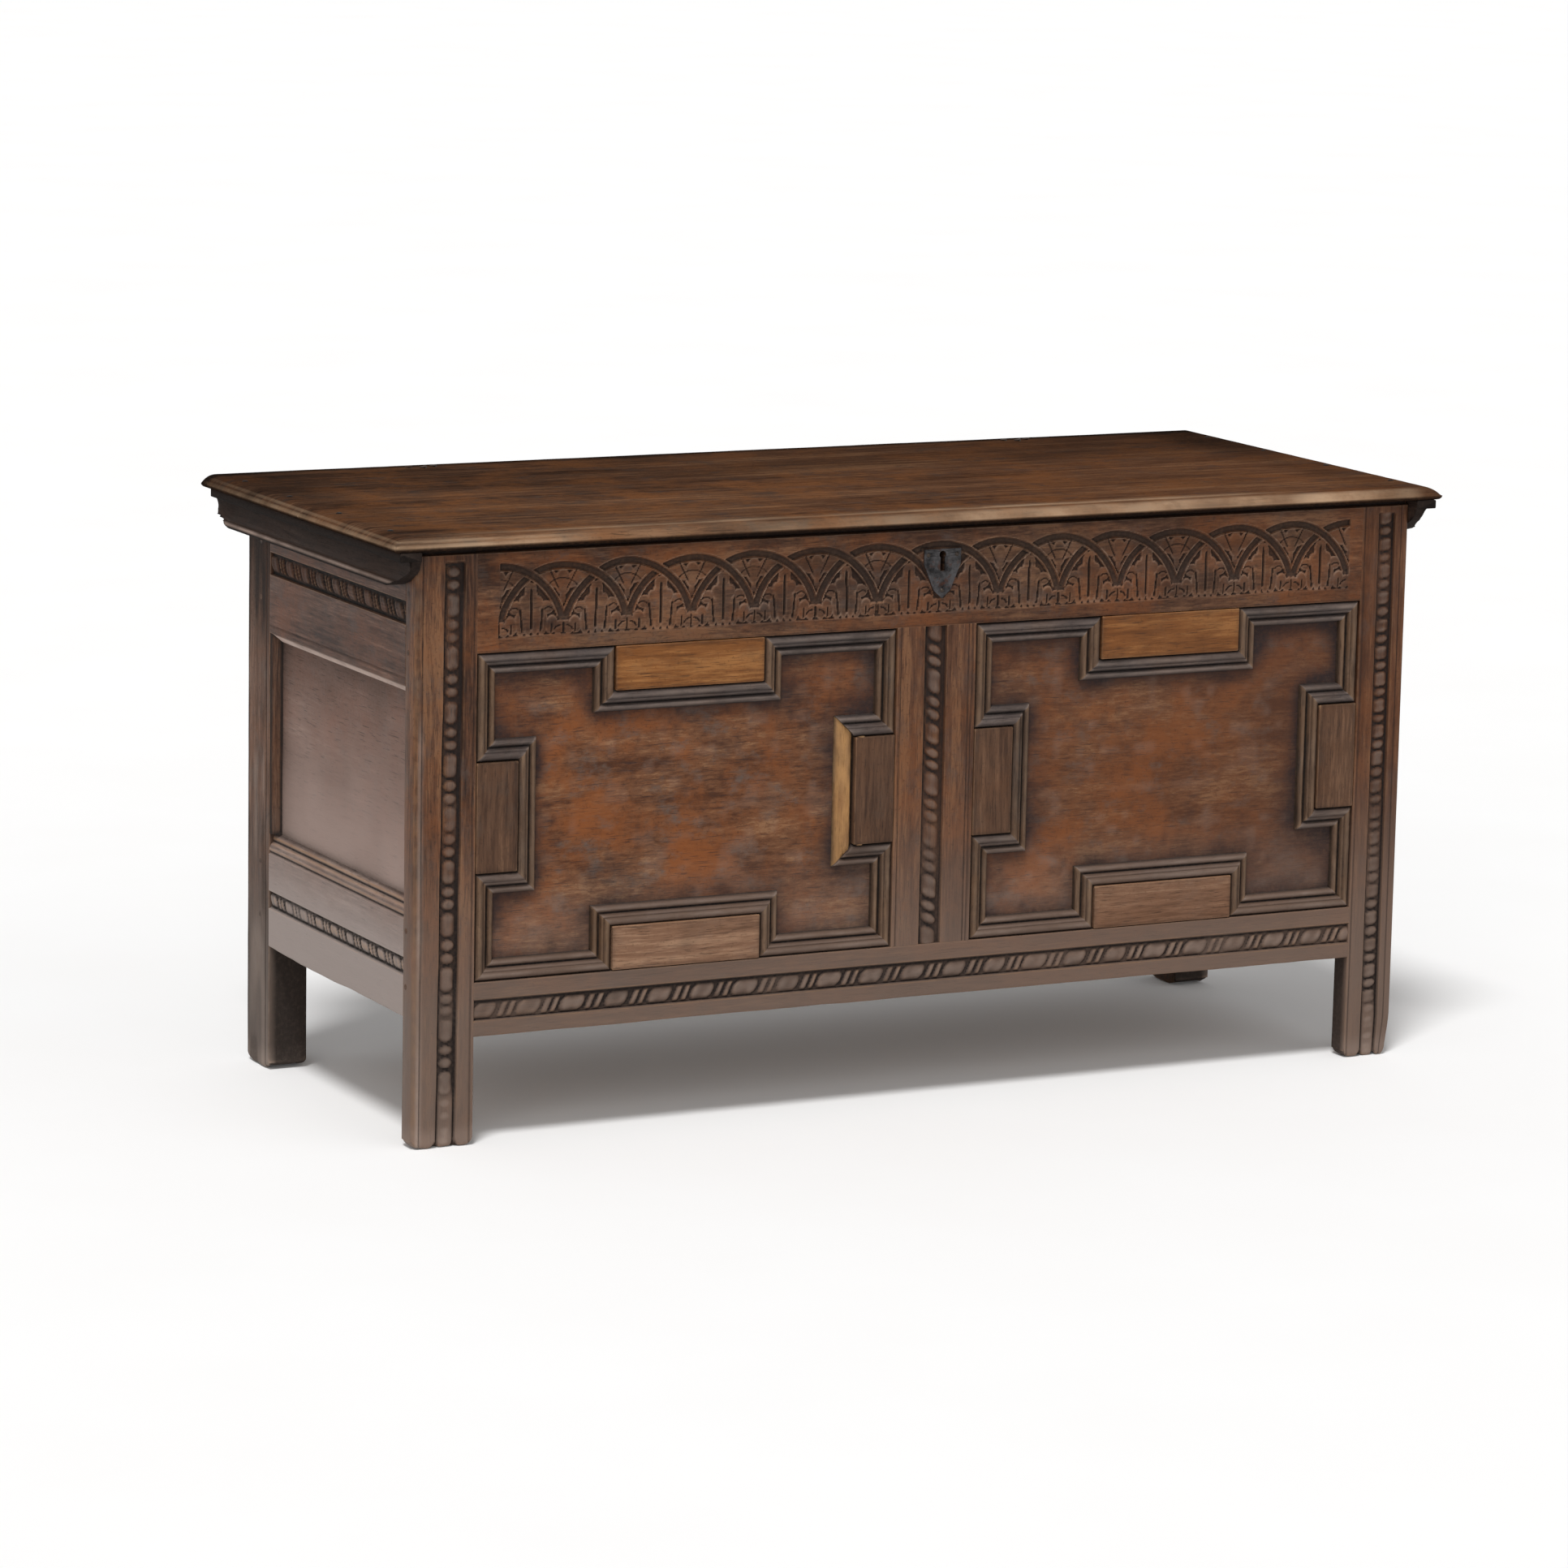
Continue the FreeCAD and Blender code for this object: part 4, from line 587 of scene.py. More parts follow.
# Chains of beads, as kinds and lengths
LONG_RAIL = [("long", 28), ("gap", 3.5), ("bar", 7), ("gap", 3.5), ("bar", 6), ("gap", 3)]
STILE_CHAIN = [("long", 25), ("gap", 3.5), ("pearl", 11), ("gap", 2.5), ("pearl", 11), ("gap", 3.5)]
RIGHT_CHAIN = [("long", 16), ("gap", 2.5), ("pearl", 10), ("gap", 2)]
SIDE_CHAIN = [("long", 19), ("gap", 6), ("bar", 4), ("gap", 4.5), ("bar", 4), ("gap", 5.5)]

# Frieze of interlaced half circles with leaves
FIELD_LEFT, FIELD_RIGHT = OPENING_LEFT + 25, OPENING_RIGHT - 17
ARCS = 14
PITCH = (FIELD_RIGHT - FIELD_LEFT) / ARCS
FRIEZE_BASE = OPENING_HIGH + 15
FRIEZE_HEIGHT = 92
GROUND, LEAF_TOP = -3.0, -0.3
BAND, BAND_RIM, BAND_DEPTH = 4.2, 5.8, 3.0
FOOT_LOBES = 20
TREE_TIERS = [(1, 48.5, 6.5, 9.5, -10), (8, 35, 6.5, 8, -15), (18.5, 30, 8, 7.5, -30), (12, 15, 7, 17, 0),
              (23.5, 11, 7.5, 11, -10), (32.5, 8, 6.5, 9, -25), (4, 24, 6.5, 27, 0)]
FAN_LOBES = [(0, 56, 9, 15, 0), (13, 60, 8, 13, -42), (25, 63, 9, 7, -30), (0, 39, 3.5, 7, 0)]


def lobed(x, y, lobes, lower):
    """Height of a leaf of oval lobes, from 0 at its edge to 1. The lobes after the first are lower."""
    stands = 0
    for i, (middle_x, middle_y, radius_x, radius_y, tilt) in enumerate(lobes):
        a = math.radians(tilt)
        u = (x - middle_x) * math.cos(a) + (y - middle_y) * math.sin(a)
        v = (y - middle_y) * math.cos(a) - (x - middle_x) * math.sin(a)
        lobe = np.sqrt(unit(1 - (u / radius_x) ** 2 - (v / radius_y) ** 2))
        stands = np.maximum(stands, lobe * lower if i else lobe)
    return stands


def tree_leaf(q, v):
    """A leaf of three tiers that stands in the pointed arch: how high it stands, and its cut veins."""
    a = np.abs(q)
    veins = groove(q, 1.3, 2.6) * window(v, 5, 52, 3, 5)
    veins += groove(a - 11.6 - 0.1 * (v - 15), 1.1, 2.4) * window(v, 2, 30, 3, 4)
    veins += groove(a - 23.5, 0.9, 2.0) * window(v, 1, 14, 2, 3)
    veins += groove(np.hypot(a - 20, v - 24) - 6.0, 0.9, 1.3) * smooth(v, 26, 28) * smooth(26 - a, 0, 2)
    veins += groove(np.hypot(a - 34, v - 2) - 8.0, 0.9, 1.5) * smooth(v, 4, 6) * smooth(35 - a, 0, 2)
    veins += groove(a - PITCH / 2, 1.0, 2.2) * window(v, 0, 15, 2, 3)
    return lobed(a, v, TREE_TIERS, 0.96), np.maximum(veins, -2.8)


def fan_leaf(u, v, odd):
    """A leaf of five lobes that hangs under an arc's crown: how high it stands, and its cut veins."""
    a = np.abs(u + 1.5 * odd)
    veins = groove(a - 7.5 - 0.5 * (v - 55), 0.9, 1.5) * smooth(v, 47, 51)
    veins += groove(np.hypot(a, v - 40) - 20.5, 0.9, 1.1) * smooth(22 - a, 0, 4) * smooth(odd, -0.3, 0.1)
    return lobed(a, v, FAN_LOBES, 0.95), np.maximum(veins, -1.8)


def frieze(l, w):
    """The carved face of the top rail."""
    x = l + 1.3 * waves(l, w, 46, 41)
    z = w + 1.3 * waves(l, w, 52, 42)
    v = z - FRIEZE_BASE
    t = (x - FIELD_LEFT) / PITCH
    cell = np.clip(np.floor(t), 0, ARCS - 1)
    q = (t - cell - 0.5) * PITCH
    left_arc = np.hypot(q + PITCH / 2, v) - PITCH
    right_arc = np.hypot(q - PITCH / 2, v) - PITCH
    side = np.sign(q)
    here_arc = np.where(side > 0, right_arc, left_arc)
    far_arc = np.where(side > 0, left_arc, right_arc)
    odd = waves(np.round(t) * 3.7, 0 * t, 1.3, 43)
    shape = waves(cell * 5.3, 0 * t, 1.3, 45)

    tree, veins = tree_leaf(q * (1 + 0.05 * shape) + shape, v * (1 + 0.04 * odd))
    fan, flutes = fan_leaf(q - side * PITCH / 2, v, odd)
    in_lens = smooth(-left_arc, 0, 0.6) * smooth(-right_arc, 0, 0.6)
    in_fan = smooth(-here_arc, 0, 0.6) * smooth(far_arc, 0, 0.6)
    crest = in_lens * tree + in_fan * fan
    cuts = in_lens * veins + in_fan * flutes
    field = unit(in_lens + in_fan)
    depth = field * (GROUND + (LEAF_TOP - GROUND) * crest ** 0.7 + cuts * smooth(crest, 0.2, 0.6))
    dark = field * 0.82 * (1 - smooth(crest, 0.0, 0.45))
    dark = np.maximum(dark, in_fan * 0.62 * smooth(47 - v, 0, 13))

    # pale is the light tone: paler channel floors and leaves, and painted highlights along the leaves' edges.
    pale = 0 * dark
    for distance in (right_arc, left_arc):
        channel = groove(distance, BAND, BAND_DEPTH)
        near = smooth(BAND_RIM - np.abs(distance), 0, 0.8)
        depth = mixed(depth, channel, near)
        dark = mixed(dark, 0.85 * smooth(-channel, 0.5, 2.4), near)
        pale = mixed(pale, 0.24 * smooth(-channel, 2.0, 2.9), near)
    low = smooth(FOOT_LOBES - v, 0, 2)
    stands = smooth(tree, 0.08, 0.3)
    lobes = stands * low * smooth(v, -1.0, 0.5)
    depth = mixed(depth, GROUND + (LEAF_TOP - GROUND) * tree ** 0.7 + veins, lobes)
    gap = smooth(v, 0, 2) * low * (1 - stands)
    depth = mixed(depth, -2.4, gap)
    dark = mixed(dark * (1 - lobes), 0.85, gap)
    cut_dark = smooth(-cuts, 0.3, 1.4) * smooth(crest, 0.1, 0.5) + smooth(-veins, 0.3, 1.4) * lobes
    dark = np.maximum(dark, 0.95 * unit(cut_dark))

    above = smooth(v, -1.0, 0.5)
    leaf = np.maximum(crest, tree * lobes)
    leaves = smooth(leaf, 0.35, 0.8)
    dark = np.maximum(dark, leaves * (0.2 + 0.3 * smooth(waves(x, z, 17, 46), -0.4, 0.6)))
    # Painted highlights along the leaves' edges; rubbed gives them a random strength.
    edges = bell(leaf - 0.42, 0.16) * (1 - unit(cut_dark))
    rubbed = 0.4 + 0.6 * smooth(waves(x, z, 21, 44), -0.5, 0.7)
    pale = pale * (1 - lobes) + (0.1 * leaves + 0.5 * edges * field) * rubbed
    inside = smooth(x - FIELD_LEFT, -0.4, 0.4) * smooth(FIELD_RIGHT - x, -0.4, 0.4)
    inside = inside * smooth(FRIEZE_HEIGHT - v, 0, 1)
    # Random dark patches, and painted shade under the lid's nose.
    patches = 0.3 * smooth(waves(x / 2, z, 22, 47), 0.1, 0.9) + 0.3 * smooth(z, RIM - 16, RIM - 8)
    dark = np.maximum(mixed(0.3, dark, above) * inside, patches)
    return depth * above * inside, dark, pale * above * inside


SHIELD_LOW, SHIELD_HIGH = shield[0][2], shield[1][2]
SHIELD_MIDDLE, SHIELD_HALF = (shield[0][0] + shield[1][0]) / 2, (shield[1][0] - shield[0][0]) / 2
KEYHOLE_TOP, KEYHOLE_DROP, KEYHOLE_HALF, KEYHOLE_ROUND = RIM - 34, 18, 2.9, 4.1
KEYHOLE_DEPTH, SEAT_DEPTH = 16.0, 0.3
SHADOW_GAP = 6.0


def shadow_gap(z):
    """The dropped upper edge of the front under the lid: its depth, and the painted shade that darkens the
    gap.
    """
    return -SHADOW_GAP * smooth(z, RIM - 6.5, RIM - 5), smooth(z, RIM - 8, RIM - 5)


def top_rail_face(l, w):
    """The frieze, with a flat seat for the iron shield and the hole for the key."""
    depth, dark, light = frieze(l, w)
    gap, gap_shade = shadow_gap(w)
    across = np.abs(l - SHIELD_MIDDLE)
    half = np.interp(w, [SHIELD_LOW, SHIELD_LOW + 9, SHIELD_HIGH - 16], [0, 0.45, 1]) * SHIELD_HALF
    seat = smooth(half + 1.5 - across, 0, 1) * smooth(w, SHIELD_LOW - 1, SHIELD_LOW + 1)
    seat = seat * smooth(SHIELD_HIGH + 1.5 - w, 0, 1)
    slot = (across < KEYHOLE_HALF) & (w > KEYHOLE_TOP - KEYHOLE_DROP) & (w < KEYHOLE_TOP)
    slot |= np.hypot(across, w - KEYHOLE_TOP) < KEYHOLE_ROUND
    depth = np.where(slot, -KEYHOLE_DEPTH, mixed(depth, -SEAT_DEPTH, seat))
    # Painted shade in the gap under the lid, along the lower edge over the panel and in the keyhole.
    edges = gap_shade + 0.6 * smooth(OPENING_HIGH + 4 - w, 0, 3)
    return depth + gap, np.maximum(np.where(slot, 1.0, dark), edges), light * (1 - seat)


BOTTOM_STRIP_Z, BOTTOM_STRIP_HALF = bottom_rail[0][2] + 28.8, 11.3


def bottom_rail_face(l, w):
    """The carved strip of the bottom rail."""
    depth, dark, light = bead_strip(l - OPENING_LEFT, w - BOTTOM_STRIP_Z, BOTTOM_STRIP_HALF, LONG_RAIL, 0.45,
                                    (2.6, 3.4), 51, 0.2, (0.4, 0.9))
    return depth, dark * (1 - 0.35 * smooth(l, -200, 450)), light


def upright_face(centre, half, low, high, chain, slant, edges, seed, lines, tones, lean=0.0, worn_end=0.0,
                 arris=None):
    """The face of a stile or muntin: a carved strip from low to high, between scratched lines.

    lean is how far the strip's middle moves over the frame's height, worn_end the height below which its
    beads are worn away, and arris the place of an outer edge with a painted highlight along it.
    """
    def relief(l, w):
        across = w - centre - lean * l / RIM
        depth, dark, light = bead_strip(l, across, half, chain, slant, edges, seed, tones=tones)
        if worn_end:
            worn = smooth(worn_end - l, 0, 30)
            edge = np.abs(np.abs(across) - half + 1.8)
            plain = -1.6 * smooth(half - np.abs(across), 0, 1.5) - 2.2 * bell(edge, 1.3)
            depth, dark = mixed(depth, plain, worn), mixed(dark, 0.8 * bell(edge, 1.6), worn)
        fade = window(l, low - 2, high, 2, 2)
        depth, dark, light = depth * fade, dark * fade, light * fade
        for x in lines:
            cut, line = scratch(w - x - 0.3 * waves(l, w, 120, seed + 3), 0.9, 0.8)
            depth, dark = depth + cut, np.maximum(dark, line * 0.8)
        gap, gap_shade = shadow_gap(l)
        # A painted highlight along the outer arris, stronger low down; rubbed is its strength.
        if arris is not None:
            rubbed = smooth(480 - l, 0, 60) * (0.7 + 0.3 * waves(l, w, 45, seed + 5))
            light = light + 0.75 * rubbed * bell(w - arris, 3.2)
        return depth + gap, np.maximum(dark, gap_shade), light
    return relief


# Front frame
FRONT_DEPTH = (-RAIL_BACK, -FRONT)
LEVEL, UPRIGHT = ("x", "z", "-y"), ("z", "x", "-y")
LAP, TONGUE = 0.6, 4
STRIP_HIGH = RIM - 14
# The middle and half width of each carved strip on the uprights
LEFT_STRIP, RIGHT_STRIP = (-SIDE + 38.4, 11.5), (SIDE - 27, 11)
MUNTIN_STRIP = ((muntin[0][0] + muntin[1][0]) / 2 - 1.2, 13)
# Wear of a foot: how far up it reaches, and how high its end lies outside the lobes and at their edges
FOOT_REACH, PLAIN_LIFT, LOBE_LIFT = 26, 3.5, 7
TAPER_REACH, TAPER = 50, 5


def foot_wear(lobes, taper=None):
    """Wear of a foot, whose end is worn round in lobes and chipped; beyond taper its side is worn in."""
    def warp(l, w, t):
        lift = PLAIN_LIFT + 0 * w
        for centre, half in lobes:
            lift = np.where(np.abs(w - centre) <= half, LOBE_LIFT * np.abs((w - centre) / half) ** 4, lift)
        chip = 1.2 * unit(waves(w, t, 9, 61)) + 0.7 * unit(waves(w, t, 4, 62))
        worn = l + (lift + chip) * smooth(FOOT_REACH - l, 0, FOOT_REACH)
        if taper is not None:
            w = w - TAPER * smooth(TAPER_REACH - worn, 0, TAPER_REACH) * smooth(w - taper, 0, 25)
        return worn, w, t
    return warp


def worn_edge(low, reach, lifts):
    """Wear of a rail's lower edge, from waves given by height, length and seed."""
    def warp(l, w, t):
        lift = sum(height * (0.5 + 0.5 * waves(l, l, size, seed)) for height, size, seed in lifts)
        return l, w + lift * smooth(low + reach - w, 0, reach), t
    return warp


def make_front_stile(side):
    """A front corner board with its carved strip and worn foot."""
    if side == "left":
        (low, _, _), (high, _, _) = left_stile
        (centre, half), arris = LEFT_STRIP, low + 6.5
        face = upright_face(centre, half, 0, STRIP_HIGH, STILE_CHAIN, 0.0, (3.0, 4.6), 63,
                            (low + 8.5, high - 4), (0.7, 0.95), 6.0, 74, arris)
        radii, shade, taper = (5.5, 1, 1), (0, 0.85), None
    else:
        (low, _, _), (high, _, _) = right_stile
        centre, half = RIGHT_STRIP
        face = upright_face(centre, half, 0, STRIP_HIGH, RIGHT_CHAIN, 0.12, (2.4, 3.6), 67,
                            (low + 4, high - 8.5), (0.4, 0.8), 0.0, 74)
        radii, shade, taper = (1, 1.6, 1), (0.85, 0), centre
    lobes = [((low + centre - half) / 2, (centre - half - low) / 2), (centre, half - 1),
             ((high + centre + half) / 2, (high - centre - half) / 2)]
    part = board((0, RIM), (low, high), (-STILE_BACK, -FRONT), UPRIGHT, (1.6, 1.3), radii, (3.5, 0.5), face,
                 shade, seed=71, warp=foot_wear(lobes, taper))
    piece(side + "_front_post", [part], "front_%s_stile" % side,
          [frame_oak["z"], inside_oak["z"]], 2)


def make_front_rails():
    """The carved top rail and the bottom rail."""
    length = lapped(OPENING_LEFT, OPENING_RIGHT, LAP)
    top = board(length, (OPENING_HIGH, RIM), FRONT_DEPTH, LEVEL, (1.25, 1.2), relief=top_rail_face,
                shade=(0.7, 0.4), seed=75)
    piece("carved_top_rail", [top], "front_top_rail", [frieze_oak, inside_oak["x"]])
    low = bottom_rail[0][2]
    bottom = board(length, (low, OPENING_LOW), FRONT_DEPTH, LEVEL, (1.5, 1.3), (1.6, 1, 1),
                   relief=bottom_rail_face, shade=(0, 0.7), seed=79,
                   warp=worn_edge(low, 14, ((1.2, 130, 77), (0.5, 31, 78))))
    piece("carved_bottom_rail", [bottom], "front_bottom_rail", [frame_oak["x"], inside_oak["x"]])


def make_muntin():
    """The carved upright between the panels."""
    x0, x1 = muntin[0][0], muntin[1][0]
    face = upright_face(*MUNTIN_STRIP, OPENING_LOW - 5, OPENING_HIGH + 5, STILE_CHAIN, -0.35,
                        (3.2, 4.6), 81, (x0 + 4.5, x1 - 4.5, x1 - 9), (0.55, 0.75))
    part = board(lapped(OPENING_LOW, OPENING_HIGH, LAP), (x0, x1), FRONT_DEPTH, UPRIGHT, (1.6, 1.3),
                 relief=face, shade=(0.7, 0.7), seed=83)
    piece("carved_muntin", [part], "front_muntin", [frame_oak["z"], inside_oak["z"]], 2)


# Panels, mouldings and blocks
PANEL_THICKNESS = 10


def panel_board(length, width, face, axes, step, relief, seed, wobble=0.22):
    """A panel's board, chamfered behind where its edges enter the grooves of the frame."""
    return board(length, width, (face - PANEL_THICKNESS, face), axes, (step, step), (0.5, 0.5, 3), (0.5, 0.5),
                 relief, wobble=wobble, seed=seed)


MOULDING_WIDTH, MOULDING_HEIGHT, MOULDING_GAP = 23.0, 9.5, 0.8
REEDED = [(0, 0), (0, 0.55), (0.03, 0.7), (0.08, 0.84), (0.14, 0.94), (0.2, 0.99), (0.27, 1), (0.33, 0.97),
          (0.37, 0.9), (0.4, 0.87), (0.44, 0.88), (0.48, 0.86), (0.52, 0.78), (0.55, 0.62), (0.58, 0.46),
          (0.62, 0.4), (0.66, 0.44), (0.69, 0.56), (0.74, 0.66), (0.8, 0.69), (0.86, 0.66), (0.91, 0.56),
          (0.95, 0.4), (0.98, 0.2), (1, 0)]
# Painted shade in the moulding's grooves and in the gaps at its edges, and painted highlights on its lips:
# place across, width and strength.
GROOVE_AND_GAP_SHADE = [(0.02, 0.05, 0.95), (0.40, 0.02, 0.45), (0.61, 0.05, 0.85), (1.0, 0.05, 0.85)]
LIP_HIGHLIGHTS = [(0.24, 0.08, 0.38), (0.46, 0.03, 0.16), (0.8, 0.07, 0.3)]
# The split length: a whole lip beside the block, a gap, and the bare splintered wood
WORN = [(0, 0), (0, 0.85), (0.02, 0.95), (0.06, 1), (0.15, 1), (0.2, 0.96), (0.23, 0.85), (0.245, 0.55),
        (0.26, 0.28), (0.3, 0.22), (0.36, 0.2), (0.4, 0.26), (0.42, 0.42), (0.46, 0.5), (0.5, 0.46),
        (0.56, 0.5), (0.62, 0.44), (0.68, 0.47), (0.74, 0.4), (0.8, 0.43), (0.86, 0.36), (0.92, 0.3),
        (0.97, 0.16), (1, 0)]
# The split length's place, dark and light: painted shade in the gap and at both edges, a faint painted
# highlight on the whole lip, and the bare splintered wood.
SPLIT_TONES = [(0, 0.6, 0), (0.03, 0.1, 0.15), (0.14, 0.05, 0.3), (0.2, 0.1, 0.2), (0.24, 0.85, 0),
               (0.27, 1, 0), (0.37, 0.95, 0), (0.41, 0.2, 0.6), (0.46, 0, 0.95), (0.62, 0, 1),
               (0.88, 0.05, 0.9), (0.96, 0.3, 0.5), (1, 0.9, 0)]
SPLIT_EXTRA = 11.5
WORN_RUN = 4


def panel_outline(side):
    """Corners of the field inside the frame and round its four blocks, and which corners turn in."""
    x0, x1 = lapped(*OPENINGS[side], -MOULDING_GAP)
    z0, z1 = lapped(OPENING_LOW, OPENING_HIGH, -MOULDING_GAP)
    cx, cz = (x0 + x1) / 2, (z0 + z1) / 2
    top, left = span(side + "_panel_top_block"), span(side + "_panel_left_block")
    bw, bh = (top[1][0] - top[0][0]) / 2 + MOULDING_GAP, z1 - top[0][2] + MOULDING_GAP / 2
    sw, sh = left[1][0] - x0 + MOULDING_GAP / 2, (left[1][2] - left[0][2]) / 2 + MOULDING_GAP
    return [(x0, z0, 1), (cx - bw, z0, 1), (cx - bw, z0 + bh, -1), (cx + bw, z0 + bh, -1), (cx + bw, z0, 1),
            (x1, z0, 1), (x1, cz - sh, 1), (x1 - sw, cz - sh, -1), (x1 - sw, cz + sh, -1), (x1, cz + sh, 1),
            (x1, z1, 1), (cx + bw, z1, 1), (cx + bw, z1 - bh, -1), (cx - bw, z1 - bh, -1), (cx - bw, z1, 1),
            (x0, z1, 1), (x0, cz + sh, 1), (x0 + sw, cz + sh, -1), (x0 + sw, cz - sh, -1), (x0, cz - sh, 1)]


def panel_runs(side):
    """The twenty stretches between the corners of a panel's outline."""
    corners = panel_outline(side)
    return list(zip(corners, corners[1:] + corners[:1]))


def mitred_strip(start, end, profile, seed, width=MOULDING_WIDTH, plain=0.0, tones=None):
    """One length of moulding between two corners, mitred at both ends.

    plain is how much of its width, from the block on, ends square. tones give dark and light over the width.
    """
    (x0, z0, turn0), (x1, z1, turn1) = start, end
    length = math.hypot(x1 - x0, z1 - z0)
    along = np.array([(x1 - x0) / length, 0, (z1 - z0) / length])
    inward = np.array([-along[2], 0, along[0]])
    u, v = np.array(profile).T
    across = u * width - plain
    mitre = np.clip(across, 0, None)[:, None]
    base = np.array([x0, PANEL_FACE, z0]) + across[:, None] * inward
    near = base + turn0 * mitre * along
    far = base + length * along - turn1 * mitre * along
    share = np.linspace(0, 1, max(3, int(length / 3)))[:, None]
    spot = share * length
    worn_down = 1 - 0.05 * np.abs(waves(spot, across, 14, seed))
    worn_down = worn_down - 0.03 * np.abs(waves(spot, across, 4, seed + 1))
    if tones:
        worn_down = worn_down - 0.16 * np.abs(waves(spot / 5, across, 2.2, seed + 3)) * smooth(across, 0, 4)
        places, darks, lights = np.array(tones).T
        dark, light = np.interp(u, places, darks), np.interp(u, places, lights)
    else:
        dark = sum(tone * bell(u - middle, wide) for middle, wide, tone in GROOVE_AND_GAP_SHADE)
        light = sum(tone * bell(u - middle, wide) for middle, wide, tone in LIP_HIGHLIGHTS)
        light = light * (0.6 + 0.5 * waves(spot, across, 37, seed + 4))
    rings = mixed(near, far, share[..., None])
    rings[..., 1] -= v * MOULDING_HEIGHT * worn_down
    mottle = 0.75 + 0.3 * waves(spot / 3, across, 5, seed + 2)
    return tube(rings, True, unit(dark + 0 * share), unit(light * mottle))


def is_notch(start, end):
    """True for a length that goes round a block."""
    return start[2] < 0 or end[2] < 0


def make_mouldings(side, worn_run):
    """The twenty lengths round one panel, in the two groups that the CAD nodes make, and the split one."""
    for group in ("edge", "notch"):
        runs = [run for run in panel_runs(side) if is_notch(*run) == (group == "notch")]
        parts = []
        for i, (start, end) in enumerate(runs):
            if group == "notch" and i == worn_run:
                continue
            part = mitred_strip(start, end, REEDED, 100 + i)
            part["slots"][:] = 0 if abs(start[1] - end[1]) < 1 else 1
            parts.append(part)
        node = "%s_panel_%s_mouldings" % (side, group)
        piece(node + "_reeded", parts, node, [moulding_oak["x"], moulding_oak["z"]])
    if worn_run is not None:
        part = mitred_strip(*runs[worn_run], WORN, 140, MOULDING_WIDTH + SPLIT_EXTRA, SPLIT_EXTRA,
                            SPLIT_TONES)
        piece(side + "_panel_split_moulding", [part], side + "_panel_worn_moulding",
              [split_oak])


def make_front_panel(side):
    """A front panel: rubbed in the middle, dark with old wax beside its mouldings."""
    seed = 150 if side == "left" else 160

    def relief(l, w):
        clear = np.ones_like(l)
        reach = 14.0 + 7.5 * waves(l, w, 80, seed)
        for (x0, z0, _), (x1, z1, _) in panel_runs(side):
            run = np.array([x1 - x0, z1 - z0])
            share = unit(((l - x0) * run[0] + (w - z0) * run[1]) / (run @ run))
            distance = np.hypot(l - x0 - share * run[0], w - z0 - share * run[1]) - MOULDING_WIDTH
            clear *= 1 - 0.74 * np.exp(-(np.clip(distance, 0, None) / reach) ** 1.5)
        low = smooth(OPENING_LOW + 125 - w, 0, 100)
        dark = (1 - clear) * (0.86 + 0.3 * waves(l, w, 22, seed + 1)) * (1 - 0.25 * low)
        spots = 0.3 * smooth(waves(l, w, 34, seed + 3) + 0.5 * waves(l, w, 9, seed + 4), 0.5, 1.2)
        spots += 0.18 * smooth(l, 380, 470)
        faded = 0.24 * low + 0.14 * smooth(waves(l, w, 15, seed + 5), 0.2, 0.9)
        return 0.3 * waves(l / 4, w, 30, seed + 2), np.clip(dark + spots, 0, 0.9), faded

    part = panel_board(lapped(*OPENINGS[side], TONGUE), lapped(OPENING_LOW, OPENING_HIGH, TONGUE),
                       -PANEL_FACE, LEVEL, 3, relief, seed)
    piece(side + "_front_panel_field", [part], "front_%s_panel" % side,
          [panel_oak, inside_oak["x"]])


def make_block(side, place, seed):
    """A small flat block of a front panel."""
    node = "%s_panel_%s_block" % (side, place)
    low, high = span(node)
    length, width, axes, kind = (low[0], high[0]), (low[2], high[2]), LEVEL, place
    if place in ("left", "right"):
        length, width, axes, kind = width, length, UPRIGHT, "side"

    def relief(l, w):
        rim = np.minimum(np.minimum(l - length[0], length[1] - l), np.minimum(w - width[0], width[1] - w))
        # Painted shade round the block's rim, and random dark patches.
        dark = 0.5 * np.exp(-(np.clip(rim, 0, None) / 2.2)) + 0.16 * unit(waves(l, w, 18, seed))
        return 0.15 * waves(l / 3, w, 9, seed + 5), dark, 0 * l

    part = board(length, width, (-high[1], -low[1]), axes, (2.5, 2.5), (1.4, 1.4, 0.5), (1.4, 1.4), relief,
                 (0.8, 0.8), 0.12, seed, 0)
    piece(node + "_flat", [part], node, [block_oak[kind]])


# Sides
SIDE_CHAMFER, SIDE_LAP = 9.0, 8.5
TOP_STRIP, TOP_STRIP_WIDTH = side_top[0][2] + 65, 24
BOTTOM_STRIP, BOTTOM_STRIP_WIDTH = side_bottom[0][2] + 47, 19.5
SIDE_MOULDING = side_bottom[1][2] - 22
SIDE_STEPS = [(-0.6, 0), (0, 1.6), (2.6, 1.6), (3.6, 0.5), (6, 0.8), (9, 2.2), (11.6, 4.6), (12.2, 6),
              (14, 6), (15, 5), (18, 6), (22, 9)]


def side_strip(l, w, base, width, seed, least_dark):
    """A side rail's carved strip."""
    return bead_strip(l, w - base - width / 2, width / 2, SIDE_CHAIN, 0.5, (3.6, 3.6), seed, least_dark)


